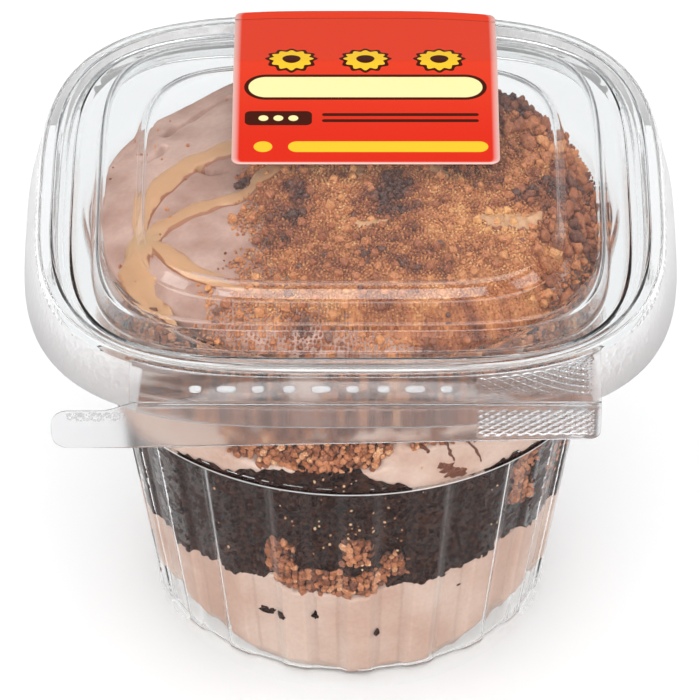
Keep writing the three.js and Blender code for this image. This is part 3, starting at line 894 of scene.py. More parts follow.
@dataclass
class SheetPress:
    """Presses rounded square and fluted shells from rings, as one geometry tree."""

    flutes: int = 20
    flute_depth: float = 0.8
    flute_edge: float = 2.6

    def tree(self) -> Tree:
        """Builds the geometry tree, which reads each corner's ring and direction."""
        sizes = {"Flutes": 20.0, "Flute Depth": 0.0008, "Flute Edge": 2.6, "Weld": 1e-7}
        tree, given, end = geometry_tree("pressed_sheet", sizes)
        turn = reading(tree, "turn")
        square = reading(tree, "squareness")
        across, along = maths("COSINE", turn), maths("SINE", turn)
        powers = [maths("POWER", maths("ABSOLUTE", side), square) for side in (across, along)]
        root = maths("POWER", powers[0] + powers[1], maths("DIVIDE", -1.0, square))
        wave = maths("COSINE", turn * given["Flutes"] - math.pi / 4) * given["Flute Edge"]
        wave = maths("MINIMUM", maths("MAXIMUM", wave, -1.0), 1.0)
        fluted = wave * given["Flute Depth"] * (reading(tree, "fluting") * 0.5)
        reach = reading(tree, "half_width") * root + fluted
        y = reach * along * reading(tree, "depth_share") + reading(tree, "shift")
        place = signal(tree, "CombineXYZ", {0: reach * across, 1: y, 2: reading(tree, "height")})
        pressed = shape_node(tree, "SetPosition", {"Geometry": given["Geometry"], "Position": place})
        welded = shape_node(tree, "MergeByDistance", {"Geometry": pressed, "Distance": given["Weld"]})
        finish_tree(tree, end, shape_node(tree, "SetShadeSmooth", {"Geometry": welded}), given["Material"])
        return tree

    def press(self, name: str, rows: Numbers, steps: int, material: Finish) -> Piece:
        """Makes a closed shell from the rings of its outer and inner face.

        Args:
            name: The object's name.
            rows: Rings as rows of numbers, whose first and last close the shell at the axis.
            steps: Corners around it.
            material: Its material.

        Returns:
            The object.
        """
        turn = np.tile(np.arange(steps) / steps * TURN, len(rows))
        each = np.repeat(rows, steps, axis=0)
        piece = mesh_piece(name, around(each[:, 0], turn, each[:, 1]), loop_faces(len(rows), steps))
        names = ("half_width", "height", "squareness", "fluting", "depth_share", "shift")
        scales = (MM, MM, 1.0, 1.0, 1.0, MM)
        note(piece, "turn", turn)
        for label, scale, column in zip(names, scales, each.T):
            note(piece, label, column * scale)
        sizes = {"Flutes": float(self.flutes), "Flute Depth": self.flute_depth * MM, "Flute Edge": self.flute_edge}
        grow(piece, self.tree(), {**sizes, "Material": material})
        for label in ("turn", *names):
            piece.data.attributes.remove(piece.data.attributes[label])
        face_out(piece)
        return piece


# ---- The clear pack ----


@dataclass
class CupShell:
    """The fluted cup with its foot, its ledge and its rounded square flange."""

    wall: float = 0.55
    foot_radius: float = 31.7
    foot_ring: float = 1.4
    floor: float = 2.9
    flute_depth: float = 0.8
    flute_edge: float = 2.6
    flute_bottom_radius: float = 31.5
    flute_bottom: float = 4.0
    flute_top_radius: float = 38.2
    flute_top: float = 45.4
    ledge_radius: float = 40.9
    ledge: float = 47.1
    mouth_radius: float = 41.6
    flange: float = 48.1
    flange_squareness: float = 3.5
    flange_top: float = 74.2
    flange_lip: float = 2.8
    steps: int = 480
    bead: float = 0.4

    def face(self, height: Numbers) -> Numbers:
        """Radius of the outer face without its flutes at a height, between floor and mouth."""
        low = (height - self.flute_bottom) / (self.flute_top - self.flute_bottom)
        fluted = self.flute_bottom_radius + (self.flute_top_radius - self.flute_bottom_radius) * low
        under = self.flange_top - self.wall
        high = np.clip((height - self.ledge) / (under - self.ledge), 0, 1)
        plain = self.ledge_radius + (self.mouth_radius + self.wall - self.ledge_radius) * high
        step = np.clip((height - self.flute_top) / (self.ledge - self.flute_top), 0, 1) ** 1.3
        return np.where(height <= self.flute_top, fluted, self.flute_top_radius * (1 - step) + plain * step)

    def flute(self, height: Numbers, angle: Numbers) -> Numbers:
        """How far the flutes push the face out at a height and direction."""
        wave = np.clip(self.flute_edge * np.cos(20 * angle - math.pi / 4), -1, 1)
        share = ease(self.floor, self.flute_bottom, height) * (1 - ease(self.flute_top, self.flute_top + 1, height))
        return wave * 0.5 * self.flute_depth * share

    def inside(self, height: Numbers, angle: Numbers) -> Numbers:
        """Radius of the inner face at a height and direction."""
        return self.face(height) + self.flute(height, angle) - self.wall

    def bends(self, height: Numbers, angle: Numbers) -> Numbers:
        """How far soft food stays out of the sharp bends of the flutes and the ledge."""
        phase = np.abs(np.cos(20 * angle - math.pi / 4)) + 0.0 * height
        flutes = (1 - ease(0.3, 0.55, phase)) * ease(self.flute_top + 1, self.flute_top - 1, height)
        ledge = np.exp(-(((height - self.ledge + 0.2) / 0.7) ** 2))
        return 0.5 * flutes + 0.4 * ledge

    def rows(self) -> Numbers:
        """Rings of the closed shell, from under the floor round to the top of the floor."""
        under = self.flange_top - self.wall
        square = self.flange_squareness

        def at(height: float, inset: float = 0.0, flute: float = 0.0) -> Ring:
            """A ring of the wall at a height."""
            return Ring(float(self.face(np.array(height))) - inset, height, flute=flute)

        outer, foot = self.foot_radius, self.foot_radius - self.foot_ring
        wall, floor, ledge, radius = self.wall, self.floor, self.ledge, self.ledge_radius
        top, lip, mouth, flange = self.flange_top, self.flange_top - self.flange_lip, self.mouth_radius, self.flange
        rings = [
            *(Ring(0, floor), Ring(foot - 0.3, floor), Ring(foot, floor - 0.4), Ring(foot + 0.1, 0)),
            *(Ring(outer - 0.5, 0), Ring(outer, 0.8), Ring(outer + 0.2, floor)),
            *(at(self.flute_bottom, flute=1), at(self.flute_top, flute=1)),
            Ring(self.flute_top_radius + 0.4, ledge - 0.7),
            *(Ring(radius + self.bead * 0.6, ledge), Ring(radius + self.bead, ledge + 0.5)),
            *(at(ledge + 1.0), at(under - 1.2), Ring(mouth + wall + 0.9, under)),
            *(Ring(flange - wall, under, square), Ring(flange - wall + 0.1, lip, square)),
            *(Ring(flange + 0.1, lip, square), Ring(flange - 0.3, top, square)),
            *(Ring(mouth + 0.9, top), Ring(mouth, top - 1.4), Ring(radius - wall, ledge + wall)),
            Ring(self.flute_top_radius + 0.4 - wall, ledge - 0.3),
            *(at(self.flute_top - 0.1, wall, 1), at(self.flute_bottom + 0.1, wall, 1)),
            *(Ring(self.flute_bottom_radius - wall - 0.6, floor + wall), Ring(0, floor + wall)),
        ]
        return soften(np.array([ring.row() for ring in rings]), 0.5)

    def build(self, press: SheetPress, material: Finish, ledge_highlight: Finish) -> Piece:
        """Builds the cup in place of its solid.

        Args:
            press: What shapes the sheet.
            material: Clear sheet.
            ledge_highlight: The finish of the ledge's outer bend, whose white share is a painted highlight.

        Returns:
            The object.
        """

        def bend(middles: Numbers) -> Numbers:
            """The outer faces round the ledge."""
            level = np.abs(middles[:, 2] - self.ledge - 0.2) < 0.27
            return level & (np.hypot(middles[:, 0], middles[:, 1]) > self.ledge_radius + 0.05)

        piece = press.press("cup_shell", self.rows(), self.steps, material)
        # The ledge's outer bend gets a white share: a painted highlight.
        second_finish(piece, ledge_highlight, bend)
        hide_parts("cup")
        return piece


@dataclass
class LidShell:
    """The rounded square lid with its raised panel, beads and skirt."""

    wall: float = 0.55
    panel: float = 32.8
    panel_foot: float = 34.3
    panel_squareness: float = 4.6
    panel_depth: float = 0.94
    panel_shift: float = -1.7
    panel_top: float = 82.2
    panel_foot_height: float = 79.9
    dome: float = 40.2
    dome_height: float = 79.0
    channel_inner: float = 40.9
    channel_outer: float = 43.3
    channel: float = 75.2
    rim: float = 49.5
    rim_top: float = 77.8
    rim_squareness: float = 3.33
    skirt: float = 52.0
    skirt_bottom: float = 69.0
    skirt_squareness: float = 3.2
    steps: int = 176

    def rows(self) -> Numbers:
        """Rings of the closed shell, from the middle out to the skirt and back inside."""
        panel = {"squareness": self.panel_squareness, "depth": self.panel_depth, "shift": self.panel_shift}
        outer, bead = self.channel_outer, self.channel
        rings = [
            *(Ring(0, self.panel_top, **panel), Ring(self.panel - 0.9, self.panel_top - 0.05, **panel)),
            Ring(self.panel, self.panel_top - 0.45, **panel),
            Ring(self.panel_foot, self.panel_foot_height, **panel),
            *(Ring(self.dome - 1, self.dome_height + 0.5, 4.9), Ring(self.dome, self.dome_height - 0.3, 4.9)),
            *(Ring(self.channel_inner, bead, 4.8), Ring(outer, bead, 4.3), Ring(outer + 1.1, bead + 1.7, 4.1)),
            *(Ring(outer + 2.2, bead + 1.7, 3.9), Ring(outer + 3.1, bead + 0.9, 3.7)),
            *(Ring(self.rim - 2, self.rim_top, 3.45), Ring(self.rim, self.rim_top - 0.1, self.rim_squareness)),
            Ring(self.rim + 0.7, self.rim_top - 1.5, self.rim_squareness),
            Ring(self.skirt, self.skirt_bottom, self.skirt_squareness),
        ]
        skin = soften(np.array([ring.row() for ring in rings]), 0.4)
        return np.concatenate([skin, inner_skin(skin, self.wall)[::-1]])

    def build(self, press: SheetPress, material: Finish, hazy: Finish) -> Piece:
        """Builds the lid in place of its solid.

        Args:
            press: What shapes the sheet.
            material: Clear sheet.
            hazy: The finish of the stretched skirt, beside the strip and behind.

        Returns:
            The object.
        """

        def skirt(middles: Numbers) -> Numbers:
            """The faces of the skirt, without those behind the strip."""
            x, y, z = middles.T
            behind_strip = (y < -40) & (x > -33) & (x < 37)
            outside = rounded_share(x, y, self.skirt_squareness) > self.rim - 0.6
            return (z < self.rim_top - 1.6) & outside & ~behind_strip

        piece = press.press("lid_shell", self.rows(), self.steps, material)
        second_finish(piece, hazy, skirt)
        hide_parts("lid")
        return piece


@dataclass
class TearStrip:
    """The straight strip along the front of the lid, with its grip and its pull tab."""

    lid: LidShell
    left: float = -34.2
    right: float = 38.7
    front: float = 52.8
    crease: float = 74.4
    bottom: float = 65.6
    bottom_right: float = 67.4
    tab_left: float = -46.3
    tab_top: float = 72.8
    tab_corner: float = 2.6
    corner: float = 1.6
    sheet: float = 0.5
    thin: float = 0.08
    grip_left: float = 19.7
    grip_right: float = 37.2
    grip_pitch: float = 1.75
    grip_depth: float = 0.32
    bars: int = 9
    bars_left: float = -26.4
    bars_right: float = 17.2
    dots: int = 90

    def columns(self, start: float) -> Numbers:
        """Where the strip's columns of corners stand, close together at its ends and grip."""
        edge = start + np.array([0, 0.05, 0.12, 0.25, 0.45, 0.7])
        plain = np.arange(start + 1.0, self.grip_left - 0.5, 0.7)
        fine = np.arange(self.grip_left - 0.5, self.right - 0.3, 0.16)
        return np.concatenate([edge, plain, fine, self.right - np.array([0.2, 0.1, 0.04, 0.0])])

    def thickness(self, x: Numbers) -> Numbers:
        """Thickness of the sheet, which is thin in the tab and at the other end."""
        full = ease(self.left - 1.0, self.left + 6.0, x) * ease(self.right, self.right - 3.0, x)
        return self.thin + (self.sheet - self.thin) * full

    def upper(self) -> tuple[Numbers, Numbers]:
        """The slope from the rim down to the crease.

        Returns:
            Its grid of points, and its grip as place and mask.
        """
        x = self.columns(self.left)
        share = np.linspace(0, 1, 54)[:, None]
        rim = front_of_square(self.lid.rim + 1.0, self.lid.rim_squareness, x)[None, :]
        front = rim + (self.front - 0.1 - rim) * share
        top = self.lid.rim_top - 0.2
        height = top + (self.crease - top) * share**1.4 + 0.0 * x[None, :]
        grid = np.stack([np.broadcast_to(x, height.shape), -front, height], axis=-1)
        run = np.cumsum(np.linalg.norm(np.diff(grid, axis=0, prepend=grid[:1]), axis=-1), axis=0)
        mask = self.padded(x) * ease(0.5, 0.9, run) * (1 - ease(-1.7, -1.3, run - run[-1:, :]))
        return grid, np.stack([grid[..., 0], run, mask], axis=-1)

    def padded(self, x: Numbers) -> Numbers:
        """Where the grip lies along the strip, from 0 to 1."""
        start = ease(self.grip_left - 0.4, self.grip_left + 0.6, x)
        return (start * (1 - ease(self.grip_right, self.grip_right + 0.4, x)))[None, :]

    def lower(self) -> tuple[Numbers, Numbers]:
        """The upright band under the crease, which runs on into the pull tab.

        Returns:
            Its grid of points, and its grip as place and mask.
        """
        x = self.columns(self.tab_left)
        share = np.linspace(0, 1, 52)[:, None]
        along = np.maximum((x - self.left) / (self.right - self.left), 0)
        turn = np.clip((x - (self.right - self.corner)) / self.corner, 0, 1)
        near = np.clip((x - self.tab_left) / self.tab_corner, 0, 1)
        cut = self.tab_corner * (1 - np.sqrt(1 - (1 - near) ** 2))
        low = self.bottom + (self.bottom_right - self.bottom) * along
        low = low + self.corner * (1 - np.sqrt(1 - turn**2)) + cut
        top = self.crease - (self.crease - self.tab_top) * (1 - ease(self.left - 4.5, self.left + 1.5, x)) - cut
        height = top[None, :] + (low - top)[None, :] * share
        lip = 0.35 * ease(self.left, self.left + 3.0, x)[None, :]
        bead = lip * np.exp(-(((height - self.crease + 0.5) / 0.35) ** 2))
        grid = np.stack([np.broadcast_to(x, height.shape), -(self.front + bead * 0.5), height], axis=-1)
        drop = self.crease - height
        mask = self.padded(x) * ease(1.3, 1.7, drop) * ease(0.7, 1.1, height - low[None, :])
        return grid, np.stack([grid[..., 0], drop, mask], axis=-1)

    def grip_tree(self) -> Tree:
        """Builds the geometry tree that raises the diamonds of the grip."""
        tree, given, end = geometry_tree("diamond_grip", {"Pitch": 1.15, "Height": 0.0003})
        x, run, mask = split(reading(tree, "grip", "FLOAT_VECTOR"))
        across = x / given["Pitch"]
        down = run / (given["Pitch"] * 0.6)
        waves = [maths("PINGPONG", slant, 0.5) for slant in (across + down, across - down)]
        raised = maths("SUBTRACT", 1.0, maths("MINIMUM", *waves) * 4.0, clamp=True)
        push = scaled(reading(tree, "outwards", "FLOAT_VECTOR"), raised * mask * given["Height"])
        moved = shape_node(tree, "SetPosition", {"Geometry": given["Geometry"], "Offset": push})
        finish_tree(tree, end, moved, given["Material"])
        return tree

    def row_tree(self, name: str) -> Tree:
        """Builds the geometry tree that sets a small moulding on each point of a row."""
        tree, given, end = geometry_tree("row_of_" + name, {"Moulding": "Object"})
        source = add_node(tree, "GeometryNodeObjectInfo", {"Object": given["Moulding"]})
        lean = {"Rotation": reading(tree, "turned", "FLOAT_VECTOR"), "Scale": reading(tree, "sized", "FLOAT_VECTOR")}
        inputs = {"Points": given["Geometry"], "Instance": Signal(source.outputs["Geometry"]), **lean}
        finish_tree(tree, end, shape_node(tree, "InstanceOnPoints", inputs), given["Material"])
        return tree

    def moulding(self, name: str, half: tuple[float, float, float]) -> Piece:
        """A small bar with rounded edges, used as the shape that a row repeats.

        Args:
            name: Its name.
            half: Half sizes along X, Y and Z.

        Returns:
            The object, not shown by itself.
        """
        steps = 12
        points = []
        for level, inset in ((-1.0, 0.0), (0.35, 0.0), (0.85, 0.22), (1.0, 0.5)):
            for angle in np.arange(steps) / steps * TURN:
                c, s = math.cos(angle), math.sin(angle)
                reach = (abs(c) ** 4 + abs(s) ** 4) ** -0.25
                wide, tall = half[0] - inset * half[2], half[2] - inset * half[2]
                points.append([wide * c * reach, -half[1] * level, tall * s * reach])
        ends = [list(range(steps))[::-1], list(range(3 * steps, 4 * steps))]
        shape = mesh_piece(name, points, loop_faces(4, steps).tolist() + ends)
        face_out(shape)
        return shape

    def row(self, name: str, points: Numbers, sizes: Numbers, tilt: float, shape: Piece, material: Finish) -> Piece:
        """Sets a moulding on each of a few points, with a size for each and one lean for all."""
        piece = mesh_piece(name, points, np.zeros((0, 4), dtype=int), smooth=False)
        note(piece, "turned", np.tile([tilt, 0.0, 0.0], (len(points), 1)))
        note(piece, "sized", sizes)
        return grow(piece, self.row_tree(shape.name), {"Moulding": shape, "Material": material})

    def build(self, material: Finish, relief_highlight: Finish) -> Piece:
        """Builds the strip with its tab, its bars and its stipple in place of their solid.

        Args:
            material: Clear sheet.
            relief_highlight: The bars' own finish, and the stipple's; its white share is a painted highlight.

        Returns:
            The object.
        """
        parts = []
        for name, (grid, grip) in (("slope", self.upper()), ("band", self.lower())):
            normal = grid_normals(grid)
            normal *= np.where(normal[..., 1:2] > 0, -1.0, 1.0)
            piece = sheet_piece(name, grid, grid - normal * self.thickness(grid[..., :1]))
            note(piece, "grip", np.concatenate([grip.reshape(-1, 3)] * 2))
            note(piece, "outwards", np.concatenate([normal.reshape(-1, 3)] * 2))
            values = {"Pitch": self.grip_pitch, "Height": self.grip_depth * MM, "Material": material}
            grow(piece, self.grip_tree(), values)
            face_out(piece)
            parts.append(piece)
        lean = -math.atan2(self.front - self.lid.rim - 1, self.lid.rim_top - self.crease)
        pitch = (self.bars_right - self.bars_left) / self.bars
        middle = [-(self.lid.rim + self.front + 1) / 2, (self.lid.rim_top + self.crease) / 2]
        places = [[self.bars_left + (i + 0.5) * pitch, *middle] for i in range(self.bars)]
        wide = np.where(np.arange(self.bars) % 3 == 1, 0.32, 0.2) * pitch
        sizes = np.stack([wide, np.ones(self.bars), np.ones(self.bars)], axis=-1)
        bar = self.moulding("bar", (1.0, 0.22, 0.55))
        parts.append(self.row("bars", np.array(places), sizes, lean, bar, relief_highlight))
        random = np.random.default_rng(SEED)
        x = random.uniform(self.tab_left + 2.2, self.left - 1, self.dots)
        z = self.tab_top - 0.5 - 1.6 * random.random(self.dots) ** 2
        sizes = np.tile(random.uniform(0.6, 1.2, (self.dots, 1)), (1, 3))
        dot = self.moulding("dot", (0.26, 0.02, 0.2))
        spots = np.stack([x, np.full(self.dots, -self.front), z], axis=-1)
        parts.append(self.row("stipple", spots, sizes, 0.0, dot, relief_highlight))
        for shape in (bar, dot):
            bpy.data.objects.remove(shape)
        whole = join("tear_band", parts)
        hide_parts("tear_strip")
        return whole


def join(name: str, parts: Sequence[Piece]) -> Piece:
    """Joins objects into the first of them.

    Args:
        name: Name of the joined object.
        parts: The objects, which share their materials.

    Returns:
        The joined object.
    """
    chosen = list(parts)
    with bpy.context.temp_override(
        active_object=chosen[0], selected_editable_objects=chosen, selected_objects=chosen
    ):
        bpy.ops.object.join()
    parts[0].name = name
    parts[0].data.name = name
    return parts[0]


@dataclass
class PackLabel:
    """The label on the panel, which bends over the back rim and down the skirt."""

    lid: LidShell
    left: float = -19.0
    right: float = 23.8
    tongue_left: float = -14.6
    tongue_right: float = 22.2
    front: float = 0.2
    paper: float = 0.25
    lift: float = 0.08
    corner: float = 1.5

    def path(self) -> Numbers:
        """Side view of the way it lies, from its front edge backwards."""
        back = self.lid.panel * self.lid.panel_depth + self.lid.panel_shift
        top = self.lid.panel_top + self.lift
        rim, crown = self.lid.rim, self.lid.rim_top
        return np.array([
            [-self.front, top],
            [back - 0.4, top],
            [back + 0.6, top - 0.2],
            [rim - 2.4, crown + 0.55],
            [rim + 0.1, crown + 0.3],
            [rim + 1.05, crown - 0.8],
            [self.lid.skirt + 0.25, self.lid.skirt_bottom + 1.2],
        ])

    def build(self, material: Finish) -> Piece:
        """Builds the label in place of its solid.

        Args:
            material: Printed paper.

        Returns:
            The object.
        """
        path = soften(self.path(), 0.5)
        lengths = np.concatenate([[0], np.cumsum(np.linalg.norm(np.diff(path, axis=0), axis=1))])
        head_end = float(np.interp(self.lid.rim + 0.1, path[:, 0], lengths))
        rounding = self.corner * np.array([0.0, 0.04, 0.13, 0.3, 0.5, 0.75, 1.0])
        plain = np.linspace(self.corner, head_end - self.corner, 40)
        tongue = np.linspace(head_end + 0.3, lengths[-1], 14)
        parts = [rounding, plain, head_end - rounding, [head_end + 0.01], tongue, lengths[1:-1]]
        stations = np.unique(np.concatenate(parts))
        y = np.interp(stations, lengths, path[:, 0])
        z = np.interp(stations, lengths, path[:, 1])
        on_tongue = stations > head_end + 1e-6
        near = np.clip(np.minimum(stations, head_end - stations), 0, self.corner)
        near = np.where(on_tongue, self.corner, near)
        inset = self.corner - np.sqrt(np.maximum(self.corner**2 - (self.corner - near) ** 2, 0))
        left = np.where(on_tongue, self.tongue_left, self.left + inset)
        right = np.where(on_tongue, self.tongue_right, self.right - inset)
        share = np.linspace(0, 1, 37)
        px = left[:, None] + (right - left)[:, None] * share[None, :]
        panel_end = float(np.interp(self.lid.panel * self.lid.panel_depth, path[:, 0], lengths))
        start = ease(panel_end, head_end, stations)
        back = self.lid.rim - front_of_square(self.lid.rim, self.lid.rim_squareness, px)
        grid = np.stack([px, y[:, None] - back * start[:, None], np.broadcast_to(z[:, None], px.shape)], axis=-1)
        normal = grid_normals(grid)
        normal *= np.where(normal[:1, :1, 2:3] < 0, -1.0, 1.0)
        piece = sheet_piece("pack_label", grid + normal * self.paper, grid)
        self._map(piece, px, stations)
        face_out(piece)
        dressed(piece, material)
        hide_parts("label")
        return piece

    def _map(self, piece: Piece, px: Numbers, stations: Numbers) -> None:
        """Gives the label its own map and the mask of its pale cut edge.

        Args:
            piece: The label.
            px: X of each corner of the grid.
            stations: Distance of each row from the front edge.
        """
        run = np.broadcast_to(stations[:, None], px.shape)
        flat = np.stack([px, run], axis=-1).reshape(-1, 2) / 100
        both = np.concatenate([flat, flat])
        edge = np.minimum.reduce([px - px[:, :1], px[:, -1:] - px, run])
        rim = 1 - ease(0.12, 0.32, edge)
        note(piece, "label_rim", np.concatenate([rim.ravel(), np.ones(rim.size)]))
        chart = piece.data.uv_layers.new(name="label_map")
        corner_of = np.empty(len(piece.data.loops), dtype=np.int32)
        piece.data.loops.foreach_get("vertex_index", corner_of)
        chart.data.foreach_set("uv", both[corner_of].ravel().astype(np.float32))


# ---- The food ----


@dataclass
class FoodForm:
    """Where the layers of food meet, and the shape of the icing on top."""

    cup: CupShell
    reach: float = 0.12
    icing_top_of_base: float = 22.6
    cake_top: float = 48.2
    icing_edge: float = 72.4
    icing_crown: float = 76.0
    food_radius: float = 41.0

    def base_line(self, angle: Numbers, width: Numbers) -> Numbers:
        """Height of the line between bottom icing and cake, without its crumbly steps."""
        edge = np.minimum(width / 30, 1)
        waves = 0.8 * np.sin(3 * angle + 0.4) + 0.45 * np.sin(7 * angle + 2)
        climb = self.rise(angle, -0.66, 0.36, 3.8)
        return self.icing_top_of_base + edge * (waves + climb + 0.3 * np.sin(13 * angle))

    def cake_line(self, angle: Numbers, width: Numbers) -> Numbers:
        """Height of the line between cake and top icing, without its crumbly steps."""
        edge = np.minimum(width / 30, 1)
        waves = 1.1 * np.sin(2 * angle + 1.2) + 0.7 * np.sin(5 * angle + 0.5)
        front = self.rise(angle, -1.65, 0.28, 5.1) + self.rise(angle, -1.93, 0.1, 0.9)
        sags = self.rise(angle, -1.15, 0.16, -3.6) + self.rise(angle, -2.5, 0.3, -3.5)
        return self.cake_top + edge * (waves + front + sags + 0.4 * np.sin(11 * angle + 1))

    @staticmethod
    def rise(angle: Numbers, at: float, spread: float, height: float) -> Numbers:
        """A soft rise of a line that runs round the cup, at one direction."""
        return height * np.exp(-((turn_between(angle, at) / spread) ** 2))

    def folds(self, angle: Numbers, width: Numbers) -> Numbers:
        """Soft folds of the spread icing."""
        reach = np.minimum(width / 12, 1)
        swirl = np.sin(angle * 2 + width * 0.16) * 0.45
        return reach * (swirl + np.sin(angle * 5 - width * 0.22 + 1) * 0.28)

    def top(self, x: Numbers, y: Numbers) -> Numbers:
        """Height of the top icing at a place, with its soft shoulder near the wall."""
        width = np.hypot(x, y)
        share = np.minimum(width / self.food_radius, 1)
        crown = self.icing_crown + (self.icing_edge - self.icing_crown) * share**4
        angle = np.arctan2(y, x)
        plan = on_plan(x, y)
        swoops = lump_noise(plan * np.array([1.0, 0.55, 1.0]), 7.5, 11)
        fine = layered_noise(plan, 2.4, 12, 2)
        ledges = np.abs(swoops) ** 0.7 * np.sign(swoops)
        spread = (0.6 * ledges + 0.12 * fine) * np.minimum(width / 12, 1)
        front = 0.12 + 0.88 * ease(-0.5, 0.35, np.cos(angle + 1.15))
        shoulder = 2.6 * front * ease(0.84, 0.97, share) ** 2
        return crown + self.folds(angle, share * self.food_radius) + spread - shoulder - self.cracks(x, y)

    def cracks(self, x: Numbers, y: Numbers) -> Numbers:
        """Depth of the narrow cracks where the icing was torn while it was spread."""
        deep = np.zeros_like(x)
        for line in (
            ((-30.0, 20.5), (-28.0, 24.3), (-25.6, 26.2), (-23.3, 29.3), (-20.0, 31.0)),
            ((-24.0, 8.5), (-22.2, 7.2), (-20.4, 7.6)),
            ((-33.0, 12.5), (-30.8, 13.8), (-30.0, 16.0)),
        ):
            for (x0, y0), (x1, y1) in zip(line[:-1], line[1:]):
                run = np.array([x1 - x0, y1 - y0])
                t = np.clip(((x - x0) * run[0] + (y - y0) * run[1]) / (run @ run), 0, 1)
                away = np.hypot(x - x0 - t * run[0], y - y0 - t * run[1])
                deep = np.maximum(deep, 1.5 * np.exp(-((away / 0.5) ** 2)))
        return deep

    def shoulder_gap(self, angle: Numbers, height: Numbers) -> Numbers:
        """How far the icing's side leaves the wall near its top."""
        return (0.5 + 1.2 * ease(-0.5, 0.35, np.cos(angle + 1.15))) * ease(66.0, 71.5, height)

    def topping_depth(self, x: Numbers, y: Numbers) -> Numbers:
        """How thick the crushed topping lies: deep at the right, thin at the left."""
        cover = ease(-24, -6, x + 0.25 * y) * ease(44, 36, np.hypot(x, y))
        return 0.4 + 1.7 * cover

    def heap_edge(self, angle: Numbers) -> Numbers:
        """How far the heap of crushed topping reaches, as a share of the food's radius."""
        to_right = 0.5 + 0.5 * np.cos(angle - 0.15)
        return 0.4 + 0.53 * ease(0.0, 0.62, to_right) + 0.03 * np.sin(5 * angle)


@dataclass
class FoodLayer:
    """A layer of food that fills the cup between two uneven lines."""

    form: FoodForm
    name: str
    low: Field
    high: Field
    dent: Field
    rows: int
    steps: int
    top_rows: int

    def side(self, angle: Numbers, height: Numbers) -> Numbers:
        """Radius of the layer's side, which reaches just into the wall where it touches it."""
        bend = self.form.cup.bends(height, angle)
        return self.form.cup.inside(height, angle) + self.form.reach - np.maximum(self.dent(angle, height), bend)

    def disc(self, angle: Numbers, shares: Numbers, edge: Numbers, line: Field) -> list[Numbers]:
        """Rings of the top or the underside, one for each share of its edge's radius."""
        widths = [share * (edge - 0.1) for share in shares]
        return [around(w, angle, line(angle, w)) for w in widths]

    def build(self, material: Finish, node: str) -> Piece:
        """Builds the layer in place of its solid.

        Args:
            material: Its material.
            node: The solid's name.

        Returns:
            The object.
        """
        angle = np.arange(self.steps) / self.steps * TURN
        wide = np.full_like(angle, RIM_WIDTH)
        bottom = self.low(angle, wide)
        crown = self.high(angle, wide)
        rings = self.disc(angle, np.linspace(0, 1, 8)[:-1], self.side(angle, bottom), self.low)
        for share in np.linspace(0, 1, self.rows):
            height = bottom + (crown - bottom) * share
            radius = self.side(angle, height)
            rings.append(around(radius, angle, height))
        rings += self.disc(angle, np.linspace(1, 0, self.top_rows)[1:], self.side(angle, crown), self.high)
        piece = mesh_piece(self.name, np.concatenate(rings), loop_faces(len(rings), self.steps))
        face_out(piece)
        dressed(piece, material)
        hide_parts(node)
        return piece


def wall_points(angle: Numbers, height: Numbers) -> Numbers:
    """Places on the wall, one row each."""
    return around(WALL, angle, height)


class Layer(Enum):
    """The layers of food, each with its piece and its solid."""

    BASE = ("base_icing", "icing_bottom")
    CAKE = ("cake_sponge", "cake_layer")
    CROWN = ("crown_icing", "icing_top")


def sunk(line: Field) -> Field:
    """The same line a little lower, so that two layers meet without a gap."""
    return lambda angle, width: line(angle, width) - LAP


